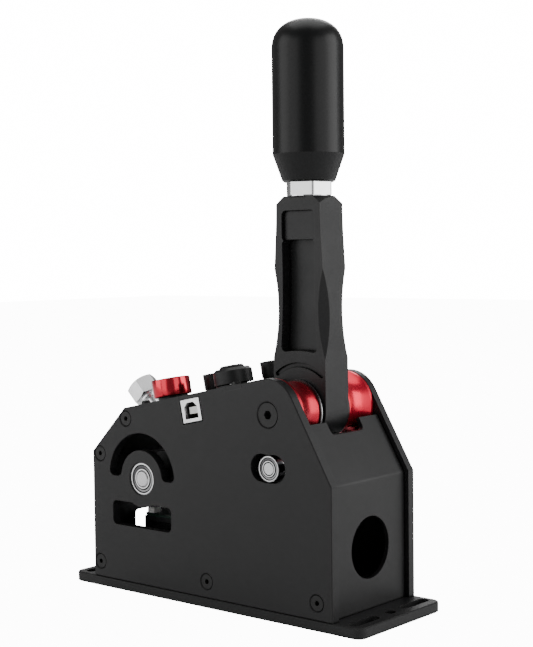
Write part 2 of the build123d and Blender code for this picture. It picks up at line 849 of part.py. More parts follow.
with BuildPart() as pivot_screws:
    for side in (-1, 1):
        with BuildSketch(across(pivot_x, pivot_z)):
            with BuildLine():
                Polyline(
                    *[
                        (side * (half_width - depth), radius)
                        for depth, radius in countersunk(
                            pivot_screw_head_radius, pivot_screw_radius, pivot_screw_length
                        )
                    ],
                    close=True,
                )
            make_face()
        revolve(axis=cross_axis(pivot_x, pivot_z))
        with BuildSketch(Plane.XZ.offset(side * half_width)):
            with Locations((pivot_x, pivot_z)):
                RegularPolygon(pivot_screw_radius * pivot_hex_share, 6)
        extrude(amount=-side * pivot_screw_head_radius * socket_depth_share, mode=Mode.SUBTRACT)
pivot_screws.part.label = "pivot_screws"
export_step(pivot_screws.part, "parts/pivot_screws.step")

# Screws from below into the foot bars
with BuildPart() as base_screws:
    for screw_x in side_screw_low_x:
        for screw_y in (-inner_face / 2, inner_face / 2):
            with BuildSketch(Plane(origin=(screw_x, screw_y, 0), x_dir=(0, 0, 1), z_dir=(0, -1, 0))):
                with BuildLine():
                    Polyline(
                        *countersunk(base_screw_head_radius, base_screw_radius, base_screw_length),
                        close=True,
                    )
                make_face()
            revolve(axis=Axis((screw_x, screw_y, 0), (0, 0, 1)))
    with BuildSketch():
        with Locations(*[(x, y) for x in side_screw_low_x for y in (-inner_face / 2, inner_face / 2)]):
            RegularPolygon(base_screw_radius * hex_share, 6)
    extrude(amount=base_screw_head_radius * socket_depth_share, mode=Mode.SUBTRACT)
base_screws.part.label = "base_screws"
export_step(base_screws.part, "parts/base_screws.step")

# Button-head screws that hold the top sheet's tabs
with BuildPart() as top_screws:
    for screw_x in top_screw_x:
        for side in (-1, 1):
            screw_y = side * (inner_face + half_width) / 2
            with BuildSketch(on_top(screw_x, screw_y, 0)):
                Circle(top_screw_head_radius)
            extrude(amount=top_screw_head_height, taper=top_screw_taper)
            with BuildSketch(on_top(screw_x, screw_y, 0)):
                Circle(top_screw_radius)
            extrude(amount=-top_screw_length)
            with BuildSketch(on_top(screw_x, screw_y, -top_screw_head_height)):
                RegularPolygon(top_screw_radius * top_screw_hex_share, 6)
            extrude(amount=-top_screw_head_height / 2, mode=Mode.SUBTRACT)
top_screws.part.label = "top_screws"
export_step(top_screws.part, "parts/top_screws.step")

# Shaft between the plates that the lever turns on
with BuildPart() as pivot_shaft:
    with BuildSketch(Plane.XZ.offset(-inner_face)):
        with Locations((pivot_x, pivot_z)):
            Circle(pivot_shaft_radius)
    extrude(amount=2 * inner_face)
    for side in (-1, 1):
        with BuildSketch(Plane.XZ.offset(side * inner_face)):
            with Locations((pivot_x, pivot_z)):
                Circle(pivot_screw_radius + press_clearance)
        extrude(amount=-side * (pivot_screw_length - plate_thickness), mode=Mode.SUBTRACT)
pivot_shaft.part.label = "pivot_shaft"
export_step(pivot_shaft.part, "parts/pivot_shaft.step")

# Turned hubs beside the lever, waisted between two flanges
washer_inner = lever_half_thickness + washer_width
washer_outer = washer_inner + washer_width
hub_waist_start = inner_face - hub_flange_width
hub_waist_end = washer_outer + hub_lever_flange_width
hub_waist_middle = (hub_waist_start + hub_waist_end) / 2
for side, hub_name in ((-1, "socket_side_hub"), (1, "plain_side_hub")):
    with BuildPart() as hub:
        with BuildSketch(across(pivot_x, pivot_z)):
            with BuildLine():
                Polyline(
                    (side * hub_waist_end, hub_lever_flange_radius),
                    (side * washer_outer, hub_lever_flange_radius),
                    (side * washer_outer, pivot_shaft_radius + hub_bore_clearance),
                    (side * inner_face, pivot_shaft_radius + hub_bore_clearance),
                    (side * inner_face, hub_plate_flange_radius),
                    (side * hub_waist_start, hub_plate_flange_radius),
                )
                ThreePointArc(
                    (side * hub_waist_start, hub_plate_flange_radius),
                    (side * hub_waist_middle, hub_waist_radius),
                    (side * hub_waist_end, hub_lever_flange_radius),
                )
            make_face()
        revolve(axis=cross_axis(pivot_x, pivot_z))
    hub.part.label = hub_name
    export_step(hub.part, f"parts/{hub_name}.step")

# Washers between the hubs and the lever's bearings
with BuildPart() as hub_washers:
    for side in (-1, 1):
        with BuildSketch(across(pivot_x, pivot_z)):
            with BuildLine():
                Polyline(
                    (side * washer_outer, pivot_shaft_radius + hub_bore_clearance),
                    (side * washer_outer, washer_radius),
                    (side * washer_inner, washer_radius),
                    (side * washer_inner, washer_collar_radius),
                    (side * (lever_half_thickness + seat_gap), washer_collar_radius),
                    (side * (lever_half_thickness + seat_gap), pivot_shaft_radius + hub_bore_clearance),
                    close=True,
                )
            make_face()
        revolve(axis=cross_axis(pivot_x, pivot_z))
hub_washers.part.label = "hub_washers"
export_step(hub_washers.part, "parts/hub_washers.step")


def bearing_section(bore, rim, width, start, side):
    """Half section of a shielded ball bearing whose outer face lies at the start."""
    ring = (rim - bore) * bearing_ring_share
    shield = start - bearing_shield_depth
    groove = start - bearing_groove_depth
    return [
        (side * start, bore),
        (side * start, bore + ring),
        (side * groove, bore + ring),
        (side * groove, bore + ring + bearing_groove_width),
        (side * shield, bore + ring + bearing_groove_width),
        (side * shield, rim - ring - bearing_groove_width),
        (side * groove, rim - ring - bearing_groove_width),
        (side * groove, rim - ring),
        (side * start, rim - ring),
        (side * start, rim),
        (side * (start - width), rim),
        (side * (start - width), bore),
    ]


with BuildPart() as rocker_bearings:
    for side in (-1, 1):
        with BuildSketch(across(rocker_x, rocker_z)):
            with BuildLine():
                Polyline(
                    *bearing_section(
                        rocker_shaft_radius + running_clearance,
                        rocker_bearing_radius,
                        rocker_bearing_width,
                        half_width - bearing_recess,
                        side,
                    ),
                    close=True,
                )
            make_face()
        revolve(axis=cross_axis(rocker_x, rocker_z))
rocker_bearings.part.label = "rocker_bearings"
export_step(rocker_bearings.part, "parts/rocker_bearings.step")

# Lever arm: waisted blade, tail for the stop pin and fork for the rocker
lever_top_z = deck + lever_top_height
blade_height = lever_top_z - pivot_z
lever_straight_z = pivot_z + blade_height * lever_straight_share
lever_mid_z = pivot_z + blade_height * lever_mid_share
lever_neck_z = pivot_z + blade_height * lever_neck_share
scoop_z = pivot_z + blade_height * scoop_share
pocket_bottom_z = pivot_z + blade_height * pocket_bottom_share
pocket_waist_z = pivot_z + blade_height * pocket_waist_share
pocket_top_z = pivot_z + blade_height * pocket_top_share
shallow_top_z = pivot_z + blade_height * shallow_top_share
scoop_diagonal = (scoop_half_length ** 2 + scoop_depth ** 2) / (2 * scoop_depth)
with BuildPart() as lever_arm:
    with BuildSketch(Plane.XZ.offset(-lever_half_thickness)):
        with BuildLine():
            right_edge = Spline(
                (pivot_x + lever_half_width, lever_straight_z),
                (pivot_x + lever_mid_half_width, lever_mid_z),
                (pivot_x + lever_neck_half_width, lever_neck_z),
                (pivot_x + lever_top_half_width, lever_top_z),
                tangents=((0, 1), (0, 1)),
            )
            left_edge = Spline(
                (pivot_x - lever_half_width, lever_straight_z),
                (pivot_x - lever_mid_half_width, lever_mid_z),
                (pivot_x - lever_neck_half_width, lever_neck_z),
                (pivot_x - lever_top_half_width, lever_top_z),
                tangents=((0, 1), (0, 1)),
            )
            Line(right_edge @ 1, left_edge @ 1)
            Line(right_edge @ 0, (pivot_x + lever_end_radius, pivot_z))
            Line(left_edge @ 0, (pivot_x - lever_end_radius, pivot_z))
            ThreePointArc(
                (pivot_x + lever_end_radius, pivot_z),
                (pivot_x, pivot_z - lever_end_radius),
                (pivot_x - lever_end_radius, pivot_z),
            )
        make_face()
    extrude(amount=2 * lever_half_thickness)
    # Shallow scoops along the four upright corners
    for side_x in (-1, 1):
        for side_y in (-1, 1):
            corner_x = pivot_x + side_x * lever_mid_half_width
            corner_y = side_y * lever_half_thickness
            reach = (scoop_diagonal - scoop_depth) / sqrt(2)
            with BuildSketch(
                Plane(
                    origin=(corner_x + side_x * reach, corner_y + side_y * reach, scoop_z),
                    x_dir=(side_x, side_y, 0),
                    z_dir=(-side_y, side_x, 0),
                )
            ):
                Circle(scoop_diagonal)
            extrude(amount=lever_half_width, both=True, mode=Mode.SUBTRACT)
    # Turned chamfer round the top
    with BuildSketch(Plane(origin=(pivot_x, 0, 0), x_dir=(1, 0, 0), z_dir=(0, -1, 0))):
        with BuildLine():
            Polyline(
                (lever_crown_radius, lever_top_z),
                (lever_end_radius + lever_half_width, lever_top_z),
                (
                    lever_end_radius + lever_half_width,
                    lever_top_z - lever_end_radius - lever_half_width + lever_crown_radius,
                ),
                close=True,
            )
        make_face()
    revolve(axis=Axis((pivot_x, 0, 0), (0, 0, 1)), mode=Mode.SUBTRACT)
    # Pockets on both faces, the shallow step above the deep one
    for side in (-1, 1):
        face_plane = Plane.XZ.offset(side * lever_half_thickness)
        with BuildSketch(face_plane) as deep_pocket:
            with BuildLine():
                waist_right = Spline(
                    (pivot_x + pocket_half_width_bottom, pocket_bottom_z),
                    (pivot_x + pocket_half_width_waist, pocket_waist_z),
                    (pivot_x + pocket_half_width_top, pocket_top_z),
                )
                waist_left = Spline(
                    (pivot_x - pocket_half_width_bottom, pocket_bottom_z),
                    (pivot_x - pocket_half_width_waist, pocket_waist_z),
                    (pivot_x - pocket_half_width_top, pocket_top_z),
                )
                Line(waist_right @ 1, waist_left @ 1)
                ThreePointArc(
                    waist_right @ 0,
                    (pivot_x, pocket_bottom_z + arc_groove_depth),
                    waist_left @ 0,
                )
            make_face()
            fillet(deep_pocket.vertices(), pocket_corner_radius)
        extrude(amount=-side * pocket_depth, mode=Mode.SUBTRACT)
        with BuildSketch(face_plane) as shallow_pocket:
            with Locations((pivot_x, (shallow_top_z + pocket_top_z) / 2)):
                Rectangle(2 * pocket_half_width_top, shallow_top_z - pocket_top_z + 2 * overrun)
            fillet(shallow_pocket.vertices(), pocket_corner_radius)
        extrude(amount=-side * shallow_depth, mode=Mode.SUBTRACT)
        turn = radians(arc_groove_half_angle)
        with BuildSketch(face_plane):
            with BuildLine(mode=Mode.PRIVATE) as groove_path:
                ThreePointArc(
                    (pivot_x - arc_groove_radius * sin(turn), pivot_z + arc_groove_radius * cos(turn)),
                    (pivot_x, pivot_z + arc_groove_radius),
                    (pivot_x + arc_groove_radius * sin(turn), pivot_z + arc_groove_radius * cos(turn)),
                )
            SlotArc(groove_path.edges()[0], arc_groove_width)
        extrude(amount=-side * arc_groove_depth, mode=Mode.SUBTRACT)
    # Tail down to the stop pin
    with BuildSketch(Plane.XZ.offset(-tail_half_thickness)):
        with Locations((pivot_x, pivot_z)):
            Circle(fork_root_radius)
        with Locations((pivot_x, stop_pin_z)):
            Circle(tail_boss_radius)
        make_hull()
    extrude(amount=2 * tail_half_thickness)
    # Fork that takes the rocker's roller
    with BuildSketch(Plane.XZ.offset(-fork_half_thickness)):
        with Locations((pivot_x, pivot_z)):
            Circle(fork_root_radius)
        with Locations(Location((fork_x, fork_z), degrees(link_angle))):
            Rectangle(2 * fork_tip_length, 2 * fork_half_height)
        make_hull()
    extrude(amount=2 * fork_half_thickness)
    slot_back = fork_slot_radius + fork_slot_back
    with BuildSketch(Plane.XZ.offset(-fork_half_thickness - overrun)):
        with Locations(Location((fork_x, fork_z), degrees(link_angle))):
            with Locations((slot_back - fork_slot_radius, 0)):
                Circle(fork_slot_radius)
            Rectangle(
                fork_tip_length + slot_back,
                2 * fork_slot_radius,
                align=(Align.MAX, Align.CENTER),
            )
            Rectangle(slot_back - fork_slot_radius, 2 * fork_slot_radius, align=(Align.MIN, Align.CENTER))
    extrude(amount=2 * (fork_half_thickness + overrun), mode=Mode.SUBTRACT)
    # Bores for the bearings, the stop pin and the grip's stud
    with BuildSketch(Plane.XZ.offset(-lever_half_thickness - overrun)):
        with Locations((pivot_x, pivot_z)):
            Circle(pivot_bearing_radius - pivot_bearing_shoulder)
        with Locations((pivot_x, stop_pin_z)):
            Circle(tail_pin_radius + press_clearance)
    extrude(amount=2 * (lever_half_thickness + overrun), mode=Mode.SUBTRACT)
    for side in (-1, 1):
        with BuildSketch(Plane.XZ.offset(side * lever_half_thickness)):
            with Locations((pivot_x, pivot_z)):
                Circle(pivot_bearing_radius + press_clearance)
        extrude(amount=-side * pivot_bearing_width, mode=Mode.SUBTRACT)
    with BuildSketch(Plane.XY.offset(lever_top_z)):
        with Locations((pivot_x, 0)):
            Circle(grip_stud_radius + press_clearance)
    extrude(amount=-grip_stud_depth, mode=Mode.SUBTRACT)
lever_arm.part.label = "lever_arm"
export_step(lever_arm.part, "parts/lever_arm.step")

with BuildPart() as pivot_bearings:
    for side in (-1, 1):
        with BuildSketch(across(pivot_x, pivot_z)):
            with BuildLine():
                Polyline(
                    *bearing_section(
                        pivot_shaft_radius + running_clearance,
                        pivot_bearing_radius,
                        pivot_bearing_width,
                        lever_half_thickness,
                        side,
                    ),
                    close=True,
                )
            make_face()
        revolve(axis=cross_axis(pivot_x, pivot_z))
pivot_bearings.part.label = "pivot_bearings"
export_step(pivot_bearings.part, "parts/pivot_bearings.step")

# Pin through the lever's tail, with a spacer and a roller on each side
with BuildPart() as tail_pin:
    with BuildSketch(Plane.XZ.offset(-half_width + tail_pin_recess)):
        with Locations((pivot_x, stop_pin_z)):
            Circle(tail_pin_radius)
    extrude(amount=2 * (half_width - tail_pin_recess))
    chamfer(tail_pin.edges(), tail_pin_edge)
tail_pin.part.label = "tail_pin"
export_step(tail_pin.part, "parts/tail_pin.step")

spacer_end = half_width - tail_pin_recess - stop_roller_width - seat_gap
with BuildPart() as tail_spacers:
    for side in (-1, 1):
        with BuildSketch(Plane.XZ.offset(side * tail_half_thickness)):
            with Locations((pivot_x, stop_pin_z)):
                Circle(tail_spacer_radius)
                Circle(tail_pin_radius + press_clearance, mode=Mode.SUBTRACT)
        extrude(amount=side * (spacer_end - tail_half_thickness))
tail_spacers.part.label = "tail_spacers"
export_step(tail_spacers.part, "parts/tail_spacers.step")

for side, roller_name in ((-1, "socket_side_stop_roller"), (1, "plain_side_stop_roller")):
    with BuildPart() as stop_roller:
        with BuildSketch(across(pivot_x, stop_pin_z)):
            with BuildLine():
                Polyline(
                    *bearing_section(
                        tail_pin_radius + running_clearance,
                        stop_roller_radius,
                        stop_roller_width,
                        half_width - tail_pin_recess,
                        side,
                    ),
                    close=True,
                )
            make_face()
        revolve(axis=cross_axis(pivot_x, stop_pin_z))
    stop_roller.part.label = roller_name
    export_step(stop_roller.part, f"parts/{roller_name}.step")

# Stud, lock nut and grip on top of the lever
nut_bottom_z = lever_top_z + lock_nut_gap
nut_top_z = nut_bottom_z + lock_nut_height
with BuildPart() as grip_stud:
    with BuildSketch(Plane.XY.offset(lever_top_z - grip_stud_depth + lock_nut_gap)):
        with Locations((pivot_x, 0)):
            Circle(grip_stud_radius)
    extrude(amount=grip_stud_depth + lock_nut_height + grip_stud_in_grip)
    chamfer(grip_stud.edges(), lock_nut_edge)
grip_stud.part.label = "grip_stud"
export_step(grip_stud.part, "parts/grip_stud.step")

with BuildPart() as lock_nut:
    with BuildSketch(Plane.XY.offset(lever_top_z)):
        with Locations((pivot_x, 0)):
            Circle(lock_nut_corner_radius - lock_nut_edge)
    extrude(amount=lock_nut_gap)
    with BuildSketch(Plane.XY.offset(nut_bottom_z)):
        with Locations((pivot_x, 0)):
            RegularPolygon(lock_nut_flats / 2, 6, major_radius=False, rotation=lock_nut_turn)
            Circle(lock_nut_corner_radius, mode=Mode.INTERSECT)
    extrude(amount=lock_nut_height)
    with BuildSketch(Plane.XY.offset(lever_top_z)):
        with Locations((pivot_x, 0)):
            Circle(grip_stud_radius + press_clearance)
    extrude(amount=lock_nut_gap + lock_nut_height, mode=Mode.SUBTRACT)
lock_nut.part.label = "lock_nut"
export_step(lock_nut.part, "parts/lock_nut.step")

grip_straight_z = nut_top_z + grip_taper_length
grip_shoulder_z = grip_straight_z + grip_straight_length
grip_top_z = grip_shoulder_z + grip_dome_length
with BuildPart() as grip:
    with BuildSketch(Plane(origin=(pivot_x, 0, 0), x_dir=(1, 0, 0), z_dir=(0, -1, 0))):
        with BuildLine():
            Polyline(
                (grip_radius, grip_shoulder_z),
                (grip_radius, grip_straight_z),
                (grip_foot_radius, nut_top_z),
                (0, nut_top_z),
                (0, grip_top_z),
            )
            Bezier(
                (0, grip_top_z),
                (grip_radius * dome_crown_share, grip_top_z),
                (grip_radius, grip_top_z - grip_dome_length * dome_side_share),
                (grip_radius, grip_shoulder_z),
            )
        make_face()
    revolve(axis=Axis((pivot_x, 0, 0), (0, 0, 1)))
    foot_edge = grip.edges().filter_by(GeomType.CIRCLE).sort_by(Axis.Z)[0]
    chamfer(foot_edge, grip_foot_chamfer)
    with BuildSketch(Plane.XY.offset(nut_top_z)):
        with Locations((pivot_x, 0)):
            Circle(grip_stud_radius + press_clearance)
    extrude(amount=grip_stud_in_grip + lock_nut_gap + overrun, mode=Mode.SUBTRACT)
grip.part.label = "grip"
export_step(grip.part, "parts/grip.step")

# Rocker: drum on its shaft, two ears to the roller, a stop pad and a slotted lug
ear_inner = fork_half_thickness + fork_side_gap
ear_outer = ear_inner + rocker_ear_width
pad_x = fork_x + rocker_pad_reach * link_x
pad_z = fork_z + rocker_pad_reach * link_z
lug_drop = (top_line(travel_rear_x) - rocker_z) * slope_x - rocker_lug_radius
lug_x = travel_rear_x + lug_drop * slope_z
lug_z = top_line(travel_rear_x) - lug_drop * slope_x
with BuildPart() as rocker_arm:
    with BuildSketch(Plane.XZ.offset(-rocker_drum_right)):
        with Locations((rocker_x, rocker_z)):
            Circle(rocker_drum_radius)
    extrude(amount=rocker_drum_right + rocker_drum_left)
    for side in (-1, 1):
        with BuildSketch(Plane.XZ.offset(side * ear_inner)):
            with Locations((rocker_x, rocker_z)):
                Circle(rocker_drum_radius)
            with Locations((fork_x, fork_z)):
                Circle(rocker_ear_radius)
            make_hull()
        extrude(amount=side * rocker_ear_width)
    with BuildSketch(Plane.XZ.offset(-ear_outer)):
        with Locations((fork_x, fork_z)):
            Circle(rocker_ear_radius)
        with Locations((pad_x, pad_z)):
            Circle(rocker_pad_radius)
        make_hull()
    extrude(amount=-rocker_pad_width)
    with BuildSketch(Plane.XZ.offset(-ear_outer)):
        with Locations((rocker_x, rocker_z)):
            Circle(rocker_lug_root_radius)
        with Locations((lug_x + lug_slot_length / 2, lug_z)):
            Circle(rocker_lug_radius)
        make_hull()
    extrude(amount=-rocker_lug_width)
    with BuildSketch(on_top(travel_rear_x, travel_y, lug_drop - rocker_lug_root_radius * 2)):
        SlotOverall(lug_slot_length, lug_slot_width)
    extrude(amount=-rocker_lug_root_radius * 4, mode=Mode.SUBTRACT)
    with BuildSketch(Plane.XZ.offset(-rocker_drum_left - rocker_lug_width)):
        with Locations((rocker_x, rocker_z)):
            Circle(rocker_shaft_radius + press_clearance)
        with Locations((fork_x, fork_z)):
            Circle(fork_pin_radius + press_clearance)
    extrude(amount=2 * (rocker_drum_left + rocker_lug_width), mode=Mode.SUBTRACT)
    # Dish that the plunger rests in
    with BuildSketch(preload_upright(detent_centre)):
        Circle(detent_radius)
    extrude(amount=plunger_head_radius, both=True, mode=Mode.SUBTRACT)
    # Seat of the magnet under the drum
    with BuildSketch(Plane.XY.offset(rocker_z - rocker_drum_radius)):
        with Locations((rocker_x, 0)):
            Circle(magnet_radius + press_clearance)
    extrude(amount=magnet_height, mode=Mode.SUBTRACT)
rocker_arm.part.label = "rocker_arm"
export_step(rocker_arm.part, "parts/rocker_arm.step")

with BuildPart() as sensor_magnet:
    with BuildSketch(Plane.XY.offset(rocker_z - rocker_drum_radius + magnet_height)):
        with Locations((rocker_x, 0)):
            Circle(magnet_radius)
    extrude(amount=-magnet_height * magnet_fill_share)
sensor_magnet.part.label = "sensor_magnet"
export_step(sensor_magnet.part, "parts/sensor_magnet.step")

with BuildPart() as rocker_shaft:
    with BuildSketch(Plane.XZ.offset(-half_width + rocker_shaft_recess)):
        with Locations((rocker_x, rocker_z)):
            Circle(rocker_shaft_radius)
    extrude(amount=2 * (half_width - rocker_shaft_recess))
    chamfer(rocker_shaft.edges(), bearing_mouth_chamfer)
rocker_shaft.part.label = "rocker_shaft"
export_step(rocker_shaft.part, "parts/rocker_shaft.step")

with BuildPart() as fork_pin:
    with BuildSketch(Plane.XZ.offset(-ear_outer)):
        with Locations((fork_x, fork_z)):
            Circle(fork_pin_radius)
    extrude(amount=2 * ear_outer)
fork_pin.part.label = "fork_pin"
export_step(fork_pin.part, "parts/fork_pin.step")

with BuildPart() as fork_roller:
    with BuildSketch(Plane.XZ.offset(-fork_half_thickness)):
        with Locations((fork_x, fork_z)):
            Circle(fork_roller_radius)
            Circle(fork_pin_radius + running_clearance, mode=Mode.SUBTRACT)
    extrude(amount=2 * fork_half_thickness)
    rims = fork_roller.edges().filter_by(GeomType.CIRCLE)
    chamfer(rims.filter_by(lambda e: e.radius > fork_pin_radius * 2), end_gap)
fork_roller.part.label = "fork_roller"
export_step(fork_roller.part, "parts/fork_roller.step")

# Adjuster on the rear slope: bush, bolt, plunger and spring
with BuildPart() as preload_bush:
    with BuildSketch(preload_side(0)):
        with BuildLine():
            Polyline(
                (panel_outer_distance + bush_flange_height, preload_rod_radius + running_clearance),
                (panel_outer_distance + bush_flange_height, bush_flange_radius),
                (panel_outer_distance, bush_flange_radius),
                (panel_outer_distance, bush_body_radius),
                (panel_outer_distance - bush_body_depth, bush_body_radius),
                (panel_outer_distance - bush_body_depth, preload_rod_radius + running_clearance),
                close=True,
            )
        make_face()
    revolve(axis=preload_axis)
preload_bush.part.label = "preload_bush"
export_step(preload_bush.part, "parts/preload_bush.step")

with BuildPart() as preload_bolt:
    with BuildSketch(preload_plane(preload_rod_end)):
        Circle(preload_rod_radius)
    extrude(amount=preload_head_start - preload_rod_end)
    with BuildSketch(preload_plane(preload_head_start)):
        Circle(preload_collar_radius)
    extrude(amount=-preload_collar_height)
    with BuildSketch(preload_plane(preload_head_start)):
        RegularPolygon(preload_head_radius, 6, rotation=preload_head_turn)
    extrude(amount=preload_head_height)
    with BuildSketch(preload_side(preload_head_start)):
        with BuildLine():
            Polyline(
                (preload_head_height, preload_head_radius - preload_edge_reach),
                (preload_head_height - preload_head_edge, preload_head_radius),
                (preload_head_edge, preload_head_radius),
                (0, preload_head_radius - preload_edge_reach),
                (0, preload_head_radius * 2),
                (preload_head_height, preload_head_radius * 2),
                close=True,
            )
        make_face()
    revolve(axis=preload_axis, mode=Mode.SUBTRACT)
    with BuildSketch(preload_plane(preload_rod_end)):
        Circle(plunger_stem_radius + running_clearance)
    extrude(amount=preload_bore_depth, mode=Mode.SUBTRACT)
preload_bolt.part.label = "preload_bolt"
export_step(preload_bolt.part, "parts/preload_bolt.step")

plunger_back = plunger_tip_centre + plunger_head_width
with BuildPart() as plunger:
    with BuildSketch(preload_plane(plunger_tip_centre)):
        Circle(plunger_head_radius)
    extrude(amount=plunger_head_width)
    with BuildSketch(preload_upright(plunger_tip_centre)):
        Circle(plunger_tip_radius)
        Rectangle(
            plunger_tip_radius,
            2 * plunger_tip_radius,
            align=(Align.MIN, Align.CENTER),
            mode=Mode.SUBTRACT,
        )
    extrude(amount=plunger_half_width, both=True)
    with BuildSketch(preload_plane(plunger_back)):
        Circle(plunger_stem_radius)
    extrude(amount=plunger_stem_length)
plunger.part.label = "plunger"
export_step(plunger.part, "parts/plunger.step")

spring_start = plunger_back + spring_wire_radius + spring_seat_gap
spring_length = preload_rod_end - spring_wire_radius - spring_seat_gap - spring_start
spring_pitch = spring_length / spring_turns
print("spring: least gap between turns", round(spring_pitch - 2 * spring_wire_radius, 3))
spring_base = preload_plane(spring_start)
with BuildPart() as preload_spring:
    with BuildLine() as coil:
        Helix(
            spring_pitch,
            spring_length,
            spring_radius,
            center=spring_base.origin,
            direction=spring_base.z_dir,
        )
    with BuildSketch(Plane(origin=coil.line @ 0, z_dir=coil.line % 0)):
        Circle(spring_wire_radius)
    sweep(is_frenet=True)
preload_spring.part.label = "preload_spring"
export_step(preload_spring.part, "parts/preload_spring.step")

# Friction adjuster: turned knob, washer, screw and shoe on the drum
with BuildPart() as friction_knob:
    with BuildSketch(on_top(friction_knob_x, friction_knob_y, -knob_lift)):
        Circle(friction_knob_radius)
    extrude(amount=friction_knob_height)
    rims = friction_knob.edges().filter_by(GeomType.CIRCLE)
    chamfer(rims, friction_knob_rim)
    with BuildSketch(on_top(friction_knob_x, friction_knob_y, -knob_lift)):
        Circle(friction_screw_radius + press_clearance)
    extrude(amount=friction_knob_height * knob_bore_share, mode=Mode.SUBTRACT)
friction_knob.part.label = "friction_knob"
export_step(friction_knob.part, "parts/friction_knob.step")

with BuildPart() as friction_washer:
    with BuildSketch(on_top(friction_knob_x, friction_knob_y, -seat_gap)):
        Circle(friction_washer_radius)
        Circle(friction_screw_radius + press_clearance, mode=Mode.SUBTRACT)
    extrude(amount=knob_lift - seat_gap)
friction_washer.part.label = "friction_washer"
export_step(friction_washer.part, "parts/friction_washer.step")

friction_drum_drop = (
    (friction_knob_x - rocker_x) * -slope_z + (top_line(friction_knob_x) - rocker_z) * slope_x
)
friction_offset = (
    (friction_knob_x - rocker_x) * slope_x + (top_line(friction_knob_x) - rocker_z) * slope_z
)
shoe_reach = friction_drum_drop - sqrt(
    rocker_drum_radius ** 2 - max(abs(friction_offset) - friction_shoe_radius, 0) ** 2
)
shoe_top = shoe_reach - friction_shoe_length
with BuildPart() as friction_screw:
    with BuildSketch(on_top(friction_knob_x, friction_knob_y, shoe_top - seat_gap)):
        Circle(friction_screw_radius)
    extrude(amount=shoe_top + knob_lift + friction_knob_height * knob_screw_share)
friction_screw.part.label = "friction_screw"
export_step(friction_screw.part, "parts/friction_screw.step")

with BuildPart() as friction_shoe:
    with BuildSketch(on_top(friction_knob_x, friction_knob_y, shoe_top)):
        Circle(friction_shoe_radius)
    extrude(amount=-friction_shoe_length - rocker_drum_radius)
    with BuildSketch(Plane.XZ.offset(rocker_drum_left + rocker_drum_radius)):
        with Locations((rocker_x, rocker_z)):
            Circle(rocker_drum_radius + end_gap)
    extrude(amount=-2 * (rocker_drum_left + rocker_drum_radius), mode=Mode.SUBTRACT)
friction_shoe.part.label = "friction_shoe"
export_step(friction_shoe.part, "parts/friction_shoe.step")

# Selector: knob, raised cap and the switch body under the top sheet
with BuildPart() as selector_knob:
    with BuildSketch(on_top(selector_x, selector_y, -knob_lift)):
        Circle(selector_radius)
    extrude(amount=selector_height)
    top_rim = selector_knob.faces().sort_by(Axis.Z)[-1].edges()
    chamfer(top_rim, selector_rim)
    with BuildSketch(on_top(selector_x, selector_y, -knob_lift)):
        Circle(selector_stem_radius + press_clearance)
    extrude(amount=selector_height * knob_bore_share, mode=Mode.SUBTRACT)
selector_knob.part.label = "selector_knob"
export_step(selector_knob.part, "parts/selector_knob.step")

with BuildPart() as selector_cap:
    with BuildSketch(on_top(selector_x, selector_y, -knob_lift - selector_height)):
        Circle(selector_cap_radius)
    extrude(amount=selector_cap_height)
    top_rim = selector_cap.faces().sort_by(Axis.Z)[-1].edges()
    chamfer(top_rim, selector_rim / 2)
selector_cap.part.label = "selector_cap"
export_step(selector_cap.part, "parts/selector_cap.step")

with BuildPart() as selector_stem:
    with BuildSketch(on_top(selector_x, selector_y, top_thickness + selector_body_height / 2)):
        Circle(selector_stem_radius)
    extrude(amount=top_thickness + selector_body_height / 2 + knob_lift + selector_height * knob_screw_share)
selector_stem.part.label = "selector_stem"
export_step(selector_stem.part, "parts/selector_stem.step")

with BuildPart() as selector_body:
    with BuildSketch(on_top(selector_x, selector_y, top_thickness)):
        Rectangle(selector_body_side, selector_body_side)
    extrude(amount=-selector_body_height)
    with BuildSketch(on_top(selector_x, selector_y, top_thickness)):
        Circle(selector_stem_radius + running_clearance)
    extrude(amount=-selector_body_height / 2, mode=Mode.SUBTRACT)
selector_body.part.label = "selector_body"
export_step(selector_body.part, "parts/selector_body.step")

# Travel adjusters: bushes in the top sheet, knobs, screws and the stop nut
with BuildPart() as travel_bushes:
    for bush_x in (travel_front_x, travel_rear_x):
        with BuildSketch(on_top(bush_x, travel_y, -travel_bush_height)):
            Circle(travel_bush_radius)
        extrude(amount=-travel_bush_height)
        with BuildSketch(on_top(bush_x, travel_y, top_thickness)):
            Circle(travel_bush_radius)
        extrude(amount=-bush_below)
        with BuildSketch(on_top(bush_x, travel_y, -travel_bush_height)):
            Circle(travel_screw_radius + running_clearance)
        extrude(amount=-travel_bush_height - top_thickness - bush_below, mode=Mode.SUBTRACT)
travel_bushes.part.label = "travel_bushes"
export_step(travel_bushes.part, "parts/travel_bushes.step")

